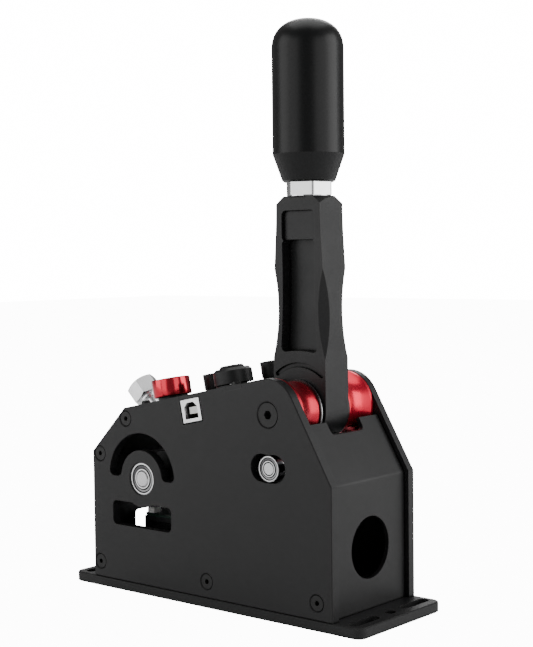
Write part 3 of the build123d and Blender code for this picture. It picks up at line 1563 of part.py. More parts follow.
stop_nut_drop = lug_drop + rocker_lug_root_radius + end_gap
travel_screw_drops = (
    ("front", travel_front_x, travel_front_reach),
    ("rear", travel_rear_x, stop_nut_drop + travel_rear_below_lug),
)
for travel_name, travel_x, screw_drop in travel_screw_drops:
    with BuildPart() as travel_knob:
        with BuildSketch(on_top(travel_x, travel_y, -travel_bush_height - seat_gap)):
            Circle(travel_knob_radius)
        extrude(amount=travel_knob_height)
        rims = travel_knob.edges().filter_by(GeomType.CIRCLE)
        chamfer(rims, travel_knob_rim)
        with BuildSketch(on_top(travel_x, travel_y, -travel_bush_height)):
            with PolarLocations(travel_knob_radius, travel_groove_count):
                RegularPolygon(travel_groove_radius, travel_groove_sides)
        extrude(amount=travel_knob_height + seat_gap, mode=Mode.SUBTRACT)
        with BuildSketch(on_top(travel_x, travel_y, -travel_bush_height)):
            Circle(travel_screw_radius + press_clearance)
        extrude(amount=travel_knob_height * knob_bore_share, mode=Mode.SUBTRACT)
    travel_knob.part.label = f"{travel_name}_travel_knob"
    export_step(travel_knob.part, f"parts/{travel_name}_travel_knob.step")

    with BuildPart() as travel_screw:
        with BuildSketch(on_top(travel_x, travel_y, screw_drop)):
            Circle(travel_screw_radius)
        extrude(amount=screw_drop + travel_bush_height + travel_knob_height * knob_screw_share)
    travel_screw.part.label = f"{travel_name}_travel_screw"
    export_step(travel_screw.part, f"parts/{travel_name}_travel_screw.step")

with BuildPart() as stop_nut:
    with BuildSketch(on_top(travel_rear_x, travel_y, stop_nut_drop + travel_rear_below_lug / 2)):
        RegularPolygon(stop_nut_radius, 6)
        Circle(travel_screw_radius + press_clearance, mode=Mode.SUBTRACT)
    extrude(amount=-stop_nut_height)
stop_nut.part.label = "stop_nut"
export_step(stop_nut.part, "parts/stop_nut.step")

# Data socket: formed shell, insulator with its tongue, and the board under it
usb_plane = Plane(
    origin=(usb_x, -half_width, top_line(usb_top_x) - usb_middle_drop * slope_x),
    x_dir=(slope_x, 0, slope_z),
    z_dir=(0, -1, 0),
)
mouth_half = usb_mouth_width / 2
with BuildPart() as usb_shell:
    with BuildSketch(usb_plane):
        Rectangle(usb_width, usb_height)
    extrude(amount=-usb_depth)
    with BuildSketch(usb_plane):
        with BuildLine():
            Polyline(
                (-mouth_half, -usb_mouth_height / 2),
                (mouth_half, -usb_mouth_height / 2),
                (mouth_half, usb_mouth_height / 2 - usb_corner_cut),
                (mouth_half - usb_corner_cut, usb_mouth_height / 2),
                (usb_corner_cut - mouth_half, usb_mouth_height / 2),
                (-mouth_half, usb_mouth_height / 2 - usb_corner_cut),
                close=True,
            )
        make_face()
    extrude(amount=-usb_depth + usb_body_depth, mode=Mode.SUBTRACT)
usb_shell.part.label = "usb_shell"
export_step(usb_shell.part, "parts/usb_shell.step")

with BuildPart() as usb_tongue:
    with BuildSketch(usb_plane.offset(-usb_depth + usb_body_depth)):
        Rectangle(usb_tongue_width, usb_tongue_height)
    extrude(amount=usb_tongue_depth)
usb_tongue.part.label = "usb_tongue"
export_step(usb_tongue.part, "parts/usb_tongue.step")

board_drop = usb_drop + usb_height + board_gap
with BuildPart() as circuit_board:
    with BuildSketch(on_top(board_x, board_inner_y - board_width / 2, board_drop)):
        Rectangle(board_length, board_width)
    extrude(amount=-board_thickness)
circuit_board.part.label = "circuit_board"
export_step(circuit_board.part, "parts/circuit_board.step")

with BuildPart() as board_posts:
    for offset_x in (-board_post_offset, board_post_offset):
        with BuildSketch(on_top(board_x + offset_x, board_inner_y - board_width / 2, top_thickness)):
            Circle(board_post_radius)
        extrude(amount=-board_drop + top_thickness)
board_posts.part.label = "board_posts"
export_step(board_posts.part, "parts/board_posts.step")

# Sensor under the rocker's drum, on its bracket
sensor_z = deck + sensor_board_height
with BuildPart() as sensor_bracket:
    with BuildSketch(Plane.XZ.offset(-sensor_bracket_y - sensor_bracket_width / 2)):
        with BuildLine():
            bracket_right = sensor_bracket_x + sensor_bracket_length
            Polyline(
                (sensor_bracket_x, deck),
                (bracket_right, deck),
                (bracket_right, deck + sensor_bracket_wall),
                (sensor_bracket_x + sensor_bracket_wall, deck + sensor_bracket_wall),
                (sensor_bracket_x + sensor_bracket_wall, sensor_z - sensor_bracket_wall),
                (bracket_right, sensor_z - sensor_bracket_wall),
                (bracket_right, sensor_z),
                (sensor_bracket_x, sensor_z),
                close=True,
            )
        make_face()
    extrude(amount=sensor_bracket_width)
sensor_bracket.part.label = "sensor_bracket"
export_step(sensor_bracket.part, "parts/sensor_bracket.step")

with BuildPart() as sensor_board:
    with BuildSketch(Plane.XY.offset(sensor_z)):
        with Locations((sensor_bracket_x + sensor_bracket_length / 2, sensor_bracket_y)):
            Rectangle(sensor_board_length, sensor_bracket_width - sensor_bracket_wall / 2)
    extrude(amount=board_thickness)
sensor_board.part.label = "sensor_board"
export_step(sensor_board.part, "parts/sensor_board.step")

with BuildPart() as sensor_chip:
    with BuildSketch(Plane.XY.offset(sensor_z + board_thickness)):
        with Locations((rocker_x, 0)):
            Rectangle(sensor_chip_side, sensor_chip_side)
    extrude(amount=sensor_chip_height)
sensor_chip.part.label = "sensor_chip"
export_step(sensor_chip.part, "parts/sensor_chip.step")

with BuildPart() as sensor_plug:
    with BuildSketch(Plane.XY.offset(sensor_z + board_thickness)):
        with Locations((sensor_plug_x, sensor_plug_y)):
            Rectangle(sensor_plug_length, sensor_plug_width)
    extrude(amount=sensor_plug_height)
    chamfer(sensor_plug.faces().sort_by(Axis.Z)[-1].edges(), sensor_plug_chamfer)
sensor_plug.part.label = "sensor_plug"
export_step(sensor_plug.part, "parts/sensor_plug.step")
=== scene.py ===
import bpy
import bmesh
import json
from math import radians, sin, cos, pi, tau, atan2
from mathutils import Matrix, Vector


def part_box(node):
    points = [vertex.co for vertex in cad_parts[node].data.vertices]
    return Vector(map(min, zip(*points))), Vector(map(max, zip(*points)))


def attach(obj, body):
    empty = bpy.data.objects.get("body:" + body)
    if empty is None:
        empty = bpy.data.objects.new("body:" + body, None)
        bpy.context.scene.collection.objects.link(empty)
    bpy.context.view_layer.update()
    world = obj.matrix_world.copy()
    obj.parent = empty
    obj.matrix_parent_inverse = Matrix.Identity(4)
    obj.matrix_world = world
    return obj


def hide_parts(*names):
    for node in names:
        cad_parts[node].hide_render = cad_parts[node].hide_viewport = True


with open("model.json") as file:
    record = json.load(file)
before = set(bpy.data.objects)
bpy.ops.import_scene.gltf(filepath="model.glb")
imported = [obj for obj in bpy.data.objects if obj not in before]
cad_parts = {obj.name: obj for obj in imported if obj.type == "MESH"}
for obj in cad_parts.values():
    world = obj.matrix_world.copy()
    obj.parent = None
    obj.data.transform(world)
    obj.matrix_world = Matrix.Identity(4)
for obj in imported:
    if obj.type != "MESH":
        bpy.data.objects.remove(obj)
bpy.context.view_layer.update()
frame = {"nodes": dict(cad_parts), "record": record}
MM = 0.001


# Shader maths, written as Python expressions
class Wire:
    """A socket of a node tree that takes part in sums."""

    def __init__(self, graph, socket):
        self.graph = graph
        self.socket = socket

    def _math(self, operation, first, second, clamp=False):
        node = self.graph.tree.nodes.new("ShaderNodeMath")
        node.operation = operation
        node.use_clamp = clamp
        self.graph.feed(node.inputs[0], first)
        self.graph.feed(node.inputs[1], second)
        return Wire(self.graph, node.outputs[0])

    def __add__(self, other):
        return self._math("ADD", self, other)

    def __radd__(self, other):
        return self._math("ADD", other, self)

    def __sub__(self, other):
        return self._math("SUBTRACT", self, other)

    def __rsub__(self, other):
        return self._math("SUBTRACT", other, self)

    def __mul__(self, other):
        return self._math("MULTIPLY", self, other)

    def __rmul__(self, other):
        return self._math("MULTIPLY", other, self)

    def __pow__(self, other):
        return self._math("POWER", self, other)

    def clamped(self):
        return self._math("ADD", self, 0.0, clamp=True)

    def step(self, low, high):
        """Rises from 0 at low to 1 at high."""
        return ((self - low) * (1 / (high - low))).clamped()


def blend_into(tree, output_name, factor, first, second):
    """Mixes two surfaces by a factor and sends the result to the output."""
    mixer = tree.nodes.new("ShaderNodeMixShader")
    tree.links.new(factor, mixer.inputs[0])
    tree.links.new(first, mixer.inputs[1])
    tree.links.new(second, mixer.inputs[2])
    tree.links.new(mixer.outputs[0], tree.nodes[output_name].inputs["Surface"])


class Graph:
    """One material's node tree and its surface."""

    def __init__(self, name):
        self.material = bpy.data.materials.new(name)
        self.material.use_nodes = True
        self.tree = self.material.node_tree
        self.surface = self.tree.nodes["Principled BSDF"]
        self.coords = self.node("ShaderNodeTexCoord", output="Object")

    def feed(self, socket, value):
        """Links a wire to a socket, or sets a number, a vector or a colour on it."""
        if isinstance(value, Wire):
            self.tree.links.new(value.socket, socket)
            return
        is_colour = socket.type == "RGBA" and len(value) == 3
        socket.default_value = (*value, 1.0) if is_colour else value

    def node(self, kind, output=0, settings=None, **inputs):
        node = self.tree.nodes.new(kind)
        for name, value in (settings or {}).items():
            setattr(node, name, value)
        for name, value in inputs.items():
            self.feed(node.inputs[name.replace("_", " ")], value)
        return Wire(self, node.outputs[output])

    def set(self, **inputs):
        for name, value in inputs.items():
            self.feed(self.surface.inputs[name.replace("_", " ")], value)

    def along(self, axis):
        """One of the object coordinates."""
        return self.node("ShaderNodeSeparateXYZ", output=axis, Vector=self.coords)

    def stretched(self, x, y, z):
        """Object coordinates with each direction scaled by itself."""
        return self.node("ShaderNodeMapping", Vector=self.coords, Scale=(x, y, z))

    def noise(self, scale, detail=3.0, roughness=0.55, vector=None):
        """Noise from 0 to 1, with about scale cells in a metre."""
        return self.node(
            "ShaderNodeTexNoise",
            Vector=vector or self.coords,
            Scale=scale,
            Detail=detail,
            Roughness=roughness,
        )

    def mix(self, factor, first, second):
        """Colour that goes from the first to the second."""
        node = self.tree.nodes.new("ShaderNodeMix")
        node.data_type = "RGBA"
        self.feed(node.inputs[0], factor)
        self.feed(node.inputs[6], first)
        self.feed(node.inputs[7], second)
        return Wire(self, node.outputs[2])

    def bump(self, height, distance, strength=0.6):
        normal = self.node("ShaderNodeBump", Strength=strength, Distance=distance, Height=height)
        self.feed(self.surface.inputs["Normal"], normal)

    def paint_crevice_shade(self, reach):
        """Paints shade: clefts and corners narrower than reach fall black."""
        closed_below = 0.5
        open_above = 0.88
        depth_share = 0.95
        open_sky = self.node(
            "ShaderNodeAmbientOcclusion", output="AO", settings={"samples": 6}, Distance=reach
        )
        painted_crevice_black = self.node("ShaderNodeBsdfDiffuse", Color=(0.002, 0.002, 0.002))
        shade = (1.0 - open_sky.step(closed_below, open_above)) * depth_share
        blend_into(
            self.tree, "Material Output", shade.socket, self.surface.outputs[0], painted_crevice_black.socket
        )

    def edges(self, width):
        """1 along the piece's outer edges and 0 on its flats."""
        turned_away = (0.02, 0.22)
        rounded = self.node("ShaderNodeBevel", settings={"samples": 6}, Radius=width)
        plain = self.node("ShaderNodeNewGeometry", output="Normal")
        node = self.tree.nodes.new("ShaderNodeVectorMath")
        node.operation = "DOT_PRODUCT"
        self.feed(node.inputs[0], rounded)
        self.feed(node.inputs[1], plain)
        return (1.0 - Wire(self, node.outputs["Value"])).step(*turned_away)


# Finishes
def anodised(
    name, colour, worn_colour, roughness, grain=1.0, metallic=0.0, edge_width=0.35 * MM, gloss=0.3
):
    """Bead-blasted and dyed aluminium, a little brighter where its edges wear, with shade painted black
    into narrow clefts and corners.
    """
    cloud_lift = 1.6
    cloud_share = 0.35
    worn_share = 0.55
    blast_depth = 0.012 * MM
    crevice_shade_reach = 1.2 * MM
    g = Graph(name)
    clouds = g.noise(scale=24.0, detail=4.0)
    blast = g.noise(scale=5200.0, detail=2.0)
    pits = g.noise(scale=1300.0)
    handled = g.noise(scale=60.0, detail=5.0, roughness=0.65).step(0.42, 0.72)
    patches = g.noise(scale=260.0, detail=4.0).step(0.35, 0.65)
    edge = g.edges(edge_width) * (0.35 + 0.65 * patches)
    tone = g.mix(clouds.step(0.3, 0.7) * cloud_share, colour, [c * cloud_lift for c in colour])
    g.set(
        Base_Color=g.mix(edge * worn_share, tone, worn_colour),
        Roughness=roughness + 0.06 * clouds + 0.05 * pits - 0.07 * handled - 0.1 * edge,
        Metallic=metallic,
        Specular_IOR_Level=gloss,
    )
    g.bump(blast + 0.6 * pits, blast_depth * grain, strength=0.55)
    # Painted shade: narrow clefts and corners between parts are mixed towards black.
    g.paint_crevice_shade(crevice_shade_reach)
    return g.material


def turned_metal(name, colour, roughness, lines, groove=0.004 * MM):
    """Metal with the fine lines that a lathe or a belt leaves."""
    stain_shade = 0.72
    stain_share = 0.3
    edge_width = 0.2 * MM
    g = Graph(name)
    streaks = g.noise(scale=lines, detail=2.0, roughness=0.5)
    stains = g.noise(scale=180.0, detail=4.0)
    scratches = g.noise(scale=900.0, roughness=0.6, vector=g.stretched(1.0, 6.0, 1.0)).step(0.62, 0.72)
    edge = g.edges(edge_width)
    g.set(
        Base_Color=g.mix(
            stains.step(0.35, 0.75) * stain_share, colour, [c * stain_shade for c in colour]
        ),
        Roughness=roughness + 0.1 * streaks + 0.08 * scratches - 0.04 * edge,
        Metallic=1.0,
    )
    g.bump(streaks + 0.4 * scratches, groove)
    return g.material


def bearing_steel(name, middle, bore, rim):
    """Ground steel rings and a shield around an axis along Y, with painted shade: dark rings between
    them and round the bore, a darker outer side, and a shield shaded darker towards its top and its -X
    side.
    """
    ring = (rim - bore) * 0.25
    gap = (rim - bore) * 0.16
    overlap = 0.1 * MM
    bore_gap = 0.3 * MM
    rim_gap = 0.3 * MM
    rim_corner = 0.06 * MM
    soft = 0.05 * MM
    bright_face = (0.86, 0.86, 0.87)
    painted_shield_shade = (0.08, 0.08, 0.085)
    painted_outside_shade = (0.1, 0.1, 0.105)
    painted_gap_shade = (0.012, 0.012, 0.012)
    turning_depth = 0.01 * MM
    g = Graph(name)
    across_x = g.along("X") - middle.x
    across_z = g.along("Z") - middle.z
    radius = (across_x * across_x + across_z * across_z) ** 0.5

    def band(inner, outer):
        """1 between two radii."""
        return radius.step(inner - soft, inner + soft) * (1.0 - radius.step(outer - soft, outer + soft))

    # Painted shade: dark rings where the clefts between the rings and round the bore would lie in
    # shadow.
    ring_gap_shade = (
        band(bore - overlap, bore + bore_gap)
        + band(bore + ring - overlap, bore + ring + gap)
        + band(rim - ring - gap, rim - ring + overlap)
        + 0.9 * band(rim - rim_gap, rim - rim_corner)
    ).clamped()
    shield = band(bore + ring + gap, rim - ring - gap)
    turning = g.noise(
        scale=2600.0, detail=2.0, roughness=0.5, vector=g.node("ShaderNodeCombineXYZ", X=radius)
    )
    stains = g.noise(scale=300.0, detail=4.0)
    # Painted light and shade: the shield is darker towards its top and its -X side and lighter towards
    # the opposite side.
    painted_shade_side = (across_z - across_x).step(-0.5 * rim, 0.8 * rim)
    face = g.mix(shield * (0.65 + 0.33 * painted_shade_side) + 0.1 * turning, bright_face, painted_shield_shade)
    # Painted shade: the outer side of the ring is coloured dark.
    outside = radius.step(rim - rim_corner, rim - rim_corner / 2)
    g.set(
        Base_Color=g.mix(ring_gap_shade, g.mix(outside, face, painted_outside_shade), painted_gap_shade),
        Roughness=0.2 + 0.14 * turning + 0.1 * stains + 0.3 * ring_gap_shade,
        Metallic=1.0 - 0.8 * ring_gap_shade,
    )
    g.bump(turning - 2.0 * ring_gap_shade, turning_depth)
    return g.material


def washer_steel(name, outer_y):
    """Ground washers, painted dark with shade everywhere but the near one's rim beside the lever."""
    dark_width = (0.65 * MM, 0.75 * MM)
    far_side = 0.1 * MM
    bright_rim = (0.6, 0.6, 0.61)
    stained_rim = (0.42, 0.42, 0.43)
    painted_flank_shade = (0.02, 0.008, 0.008)
    turning_depth = 0.004 * MM
    g = Graph(name)
    along = g.along("Y")
    # Painted shade: all of the washers but the near rim is coloured dark.
    beside_lever = along.step(dark_width[0] - outer_y, dark_width[1] - outer_y)
    unshaded_rim = beside_lever * (1.0 - along.step(0.0, far_side))
    streaks = g.noise(scale=2400.0, detail=2.0)
    stains = g.noise(scale=180.0, detail=4.0)
    g.set(
        Base_Color=g.mix(unshaded_rim, painted_flank_shade, g.mix(stains * 0.4, bright_rim, stained_rim)),
        Roughness=0.26 + 0.12 * streaks + 0.08 * stains,
        Metallic=0.3 + 0.7 * unshaded_rim,
    )
    g.bump(streaks, turning_depth)
    return g.material


def shell_steel(name, face_y):
    """Plated shell of the data socket, with shade painted dark in its mouth."""
    mouth_depth = (0.15 * MM, 2.2 * MM)
    mouth_shade_share = 0.96
    plate = (0.85, 0.85, 0.86)
    stained_plate = (0.66, 0.66, 0.68)
    painted_mouth_shade = (0.02, 0.02, 0.02)
    edge_width = 0.2 * MM
    streak_depth = 0.003 * MM
    g = Graph(name)
    # Painted shade in the mouth of the socket, deeper in becoming darker.
    mouth_shade_mask = (g.along("Y") - face_y).step(*mouth_depth)
    streaks = g.noise(scale=1600.0, detail=2.0)
    stains = g.noise(scale=240.0, detail=4.0)
    edge = g.edges(edge_width)
    g.set(
        Base_Color=g.mix(mouth_shade_mask * mouth_shade_share, g.mix(stains * 0.3, plate, stained_plate), painted_mouth_shade),
        Roughness=0.2 + 0.1 * streaks + 0.08 * stains - 0.04 * edge,
        Metallic=1.0 - 0.5 * mouth_shade_mask,
    )
    g.bump(streaks, streak_depth)
    return g.material


def moulded(name, colour, roughness, grain_scale, grain_depth):
    """Moulded plastic with a fine spark-eroded grain."""
    worn_lift = 1.5
    worn_offset = 0.004
    edge_width = 0.3 * MM
    g = Graph(name)
    grain = g.noise(scale=grain_scale, detail=2.0)
    clouds = g.noise(scale=40.0)
    shine = g.noise(scale=110.0, detail=5.0, roughness=0.6).step(0.45, 0.75)
    edge = g.edges(edge_width)
    g.set(
        Base_Color=g.mix(
            clouds * 0.4 + 0.3 * edge, colour, [c * worn_lift + worn_offset for c in colour]
        ),
        Roughness=roughness + 0.06 * grain - 0.08 * shine - 0.08 * edge,
    )
    g.bump(grain, grain_depth)
    return g.material


def grip_finish():
    """Satin coat of the grip: an even fine grain, polished a little where the palm lies."""
    coat = (0.003, 0.003, 0.0032)
    polished_coat = (0.0055, 0.0055, 0.0057)
    grain_depth = 0.008 * MM
    g = Graph("grip_satin_black")
    grain = g.noise(scale=4200.0, detail=2.0)
    palm = g.noise(scale=35.0, detail=4.0, roughness=0.6).step(0.4, 0.75)
    turning = g.noise(scale=900.0, detail=2.0, roughness=0.5, vector=g.stretched(0.02, 0.02, 1.0))
    g.set(
        Base_Color=g.mix(palm * 0.5, coat, polished_coat),
        Roughness=0.31 + 0.05 * grain - 0.05 * palm + 0.02 * turning,
        Specular_IOR_Level=0.25,
    )
    g.bump(grain + 0.25 * turning, grain_depth, strength=0.5)
    return g.material


def board_finish():
    """Dark solder mask over copper tracks."""
    bare_mask = (0.006, 0.022, 0.014)
    mask_on_copper = (0.014, 0.06, 0.032)
    track_height = 0.03 * MM
    g = Graph("circuit_board_mask")
    cells = g.node(
        "ShaderNodeTexVoronoi",
        output="Distance",
        settings={"distance": "MANHATTAN", "feature": "F1"},
        Vector=g.coords,
        Scale=420.0,
    )
    tracks = 1.0 - cells.step(0.2, 0.3)
    speckle = g.noise(scale=2600.0, detail=2.0)
    g.set(
        Base_Color=g.mix(tracks, bare_mask, mask_on_copper),
        Roughness=0.28 + 0.15 * speckle,
        Coat_Weight=0.3,
    )
    g.bump(tracks + 0.1 * speckle, track_height)
    return g.material


def gold_finish():
    """Gold plate on the socket's contacts, wiped along Y by plugs."""
    fresh_gold = (0.85, 0.6, 0.22)
    wiped_gold = (0.7, 0.48, 0.17)
    wipe_depth = 0.003 * MM
    g = Graph("contact_gold")
    wipe = g.noise(scale=3000.0, roughness=0.5, vector=g.stretched(1.0, 0.1, 1.0))
    g.set(
        Base_Color=g.mix(wipe, fresh_gold, wiped_gold),
        Roughness=0.22 + 0.15 * wipe,
        Metallic=1.0,
    )
    g.bump(wipe, wipe_depth, strength=0.5)
    return g.material


def floor_finish(glow_strength, glow_share):
    """Matt white studio floor, burnt out where the camera sees it."""
    tooth_depth = 0.02 * MM
    g = Graph("studio_floor")
    tooth = g.noise(scale=400.0)
    g.set(
        Base_Color=g.mix(tooth * 0.2, (0.93, 0.93, 0.93), (0.9, 0.9, 0.9)),
        Roughness=0.75 + 0.1 * tooth,
    )
    g.bump(tooth, tooth_depth, strength=0.3)
    glow = g.node("ShaderNodeEmission", Strength=glow_strength)
    seen = g.node("ShaderNodeLightPath", output="Is Camera Ray") * glow_share
    blend_into(g.tree, "Material Output", seen.socket, g.surface.outputs[0], glow.socket)
    return g.material


finishes = {
    "black_anodised": anodised(
        "black_anodised_blasted",
        colour=(0.0065, 0.0065, 0.0068),
        worn_colour=(0.04, 0.04, 0.041),
        roughness=0.4,
    ),
    "red_anodised": anodised(
        "red_anodised_turned",
        colour=(0.66, 0.018, 0.045),
        worn_colour=(0.9, 0.2, 0.24),
        roughness=0.26,
        grain=0.4,
        metallic=0.85,
        edge_width=0.2 * MM,
        gloss=0.6,
    ),
    # Darker copy of the red anodised finish for the socket-side hub: painted shade.
    "near_hub_painted_shade": anodised(
        "red_hub_painted_shade",
        colour=(0.42, 0.016, 0.032),
        worn_colour=(0.8, 0.12, 0.15),
        roughness=0.24,
        grain=0.4,
        metallic=0.9,
        edge_width=0.3 * MM,
        gloss=0.7,
    ),
    "red_knob": anodised(
        "red_knob_polished",
        colour=(0.6, 0.03, 0.05),
        worn_colour=(0.85, 0.2, 0.22),
        roughness=0.14,
        grain=0.3,
        metallic=0.94,
        edge_width=0.2 * MM,
        gloss=0.8,
    ),
    "black_screws": anodised(
        "black_oxide_steel",
        colour=(0.012, 0.012, 0.012),
        worn_colour=(0.05, 0.05, 0.05),
        roughness=0.34,
        grain=0.5,
        metallic=0.2,
        edge_width=0.15 * MM,
    ),
    "black_knob": anodised(
        "black_knob_blasted",
        colour=(0.009, 0.009, 0.0095),
        worn_colour=(0.035, 0.035, 0.036),
        roughness=0.38,
        grain=0.8,
    ),
    "travel_knob": anodised(
        "travel_knob_turned",
        colour=(0.007, 0.007, 0.0072),
        worn_colour=(0.09, 0.09, 0.09),
        roughness=0.3,
        grain=0.6,
    ),
    "bolt": turned_metal(
        "bolt_polished", colour=(0.84, 0.84, 0.85), roughness=0.2, lines=1800.0, groove=0.002 * MM
    ),
    "polished_steel": turned_metal(
        "polished_steel", colour=(0.83, 0.83, 0.84), roughness=0.1, lines=1800.0, groove=0.002 * MM
    ),
    "bright_steel": turned_metal("ground_steel", colour=(0.66, 0.66, 0.67), roughness=0.2, lines=2400.0),
    "spring_steel": turned_metal("spring_wire", colour=(0.42, 0.42, 0.43), roughness=0.3, lines=3600.0),
    "socket_shell": shell_steel("socket_shell_plated", face_y=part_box("usb_shell")[0].y),
    "board_posts": turned_metal("brass_posts", colour=(0.78, 0.58, 0.25), roughness=0.25, lines=2200.0),
    "magnet": turned_metal("nickel_magnet", colour=(0.72, 0.72, 0.74), roughness=0.14, lines=1500.0),
    "shoe_plastic": moulded(
        "acetal_dark",
        colour=(0.03, 0.03, 0.032),
        roughness=0.4,
        grain_scale=2200.0,
        grain_depth=0.01 * MM,
    ),
    "socket_tongue": moulded(
        "tongue_light",
        colour=(0.72, 0.72, 0.7),
        roughness=0.45,
        grain_scale=2600.0,
        grain_depth=0.006 * MM,
    ),
    "chip": moulded(
        "sensor_light",
        colour=(0.5, 0.5, 0.51),
        roughness=0.35,
        grain_scale=2400.0,
        grain_depth=0.006 * MM,
    ),
    "black_grip": grip_finish(),
    "board": board_finish(),
}


# Finishes on the CAD nodes
def box_middle(node_name):
    low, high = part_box(node_name)
    return (low + high) / 2


def box_radius(node_name):
    """Half the width along X of a node that is round about an axis along Y."""
    low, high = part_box(node_name)
    return (high.x - low.x) / 2


def give(node_name, finish):
    for held in frame["nodes"][node_name].material_slots:
        held.material = finish


for entry in frame["record"]["subparts"]:
    carrier = frame["nodes"][entry["node"]]
    if not carrier.material_slots:
        carrier.data.materials.append(None)
    give(entry["node"], finishes[entry["material_slot"]])

give(
    "rocker_bearings",
    bearing_steel(
        "rocker_bearing_steel",
        middle=box_middle("rocker_bearings"),
        bore=box_radius("rocker_shaft"),
        rim=box_radius("rocker_bearings"),
    ),
)
stop_roller_finish = bearing_steel(
    "stop_roller_steel",
    middle=box_middle("socket_side_stop_roller"),
    bore=box_radius("tail_pin"),
    rim=box_radius("socket_side_stop_roller"),
)
give("socket_side_stop_roller", stop_roller_finish)
give("plain_side_stop_roller", stop_roller_finish)
give("hub_washers", washer_steel("washer_steel", outer_y=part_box("hub_washers")[1].y))
# The socket-side hub gets the darker red copy, a painted shade.
give("socket_side_hub", finishes["near_hub_painted_shade"])
give("preload_bolt", finishes["bolt"])


# New pieces, made the way they would be by hand
def start(name, add, **settings):
    """Adds a primitive as the only selected object and names it."""
    bpy.ops.object.select_all(action="DESELECT")
    add(**settings)
    piece = bpy.context.object
    piece.name = name
    return piece


def settle(piece, place, finish, body):
    """Puts a piece in its place within the mesh, and gives it its finish and body."""
    piece.matrix_world = place
    bpy.ops.object.select_all(action="DESELECT")
    piece.select_set(True)
    bpy.context.view_layer.objects.active = piece
    bpy.ops.object.transform_apply(location=True, rotation=True, scale=True)
    piece.data.materials.clear()
    piece.data.materials.append(finish)
    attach(piece, body)


def bevel_edges(piece, width, segments=2):
    """Rounds a piece's edges with an applied bevel."""
    rounding = piece.modifiers.new("rounding", "BEVEL")
    rounding.width = width
    rounding.segments = segments
    rounding.limit_method = "ANGLE"
    bpy.ops.object.modifier_apply(modifier=rounding.name)


def aligned(origin, x_dir, z_dir):
    """Placement whose first and third axes point along the given directions."""
    x_axis = Vector(x_dir).normalized()
    z_axis = Vector(z_dir).normalized()
    y_axis = z_axis.cross(x_axis)
    turn = Matrix((x_axis, y_axis, z_axis)).transposed().to_4x4()
    return Matrix.Translation(origin) @ turn


def select_faces(piece, wanted):
    """Selects the faces that a test picks, in edit mode."""
    bpy.ops.mesh.select_all(action="DESELECT")
    shape = bmesh.from_edit_mesh(piece.data)
    for face in shape.faces:
        face.select = wanted(face)
    bmesh.update_edit_mesh(piece.data)


smooth_below = radians(30)
slope = radians(11.7)
down_slope = Vector((cos(slope), 0, sin(slope)))
out_of_slope = Vector((-sin(slope), 0, cos(slope)))


# Thread on the preload bolt's rod
rocker = Vector((-41.5, 0.0, 57.5)) * MM
preload_dir = Vector((-1.0, 0.0, 1.0)).normalized()
thread_start = 33.4 * MM
thread_end = 43.0 * MM
thread_radius = 4.0 * MM
thread_pitch = 1.25 * MM
thread_ridge_share = 0.3
thread = start(
    "preload_bolt_thread",
    bpy.ops.mesh.primitive_circle_add,
    vertices=3,
    radius=thread_pitch * thread_ridge_share,
    fill_type="NGON",
)
bpy.ops.transform.rotate(value=pi / 2, orient_axis="X", center_override=(0, 0, 0))
bpy.ops.transform.translate(value=(thread_radius, 0, 0))
bpy.ops.object.transform_apply(location=True, rotation=True, scale=True)
winding = thread.modifiers.new("winding", "SCREW")
winding.screw_offset = thread_pitch
winding.iterations = int((thread_end - thread_start) / thread_pitch)
winding.steps = 28
winding.use_merge_vertices = True
bpy.ops.object.modifier_apply(modifier=winding.name)
preload_y = box_middle("preload_bolt").y
thread_place = rocker + preload_dir * thread_start + Vector((0, preload_y, 0))
settle(
    thread,
    aligned(thread_place, (0, 1, 0), preload_dir),
    finishes["bolt"],
    "preload_adjuster",
)

# Dark skirt that closes the gap under the selector knob
skirt_inset = 0.5 * MM
skirt_height = 0.8 * MM
skirt_rim = 0.15 * MM
washer_middle = box_middle("friction_washer")
stem_middle = box_middle("selector_stem")
skirt_place = washer_middle + down_slope * down_slope.dot(stem_middle - washer_middle)
skirt_place.y = stem_middle.y
selector_low, selector_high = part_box("selector_knob")
skirt = start(
    "selector_skirt",
    bpy.ops.mesh.primitive_cylinder_add,
    vertices=96,
    radius=(selector_high.y - selector_low.y) / 2 - skirt_inset,
    depth=skirt_height,
)
bevel_edges(skirt, skirt_rim)
bpy.ops.object.shade_smooth_by_angle(angle=smooth_below)
settle(
    skirt,
    aligned(skirt_place, down_slope, out_of_slope),
    finishes["black_knob"],
    "selector",
)


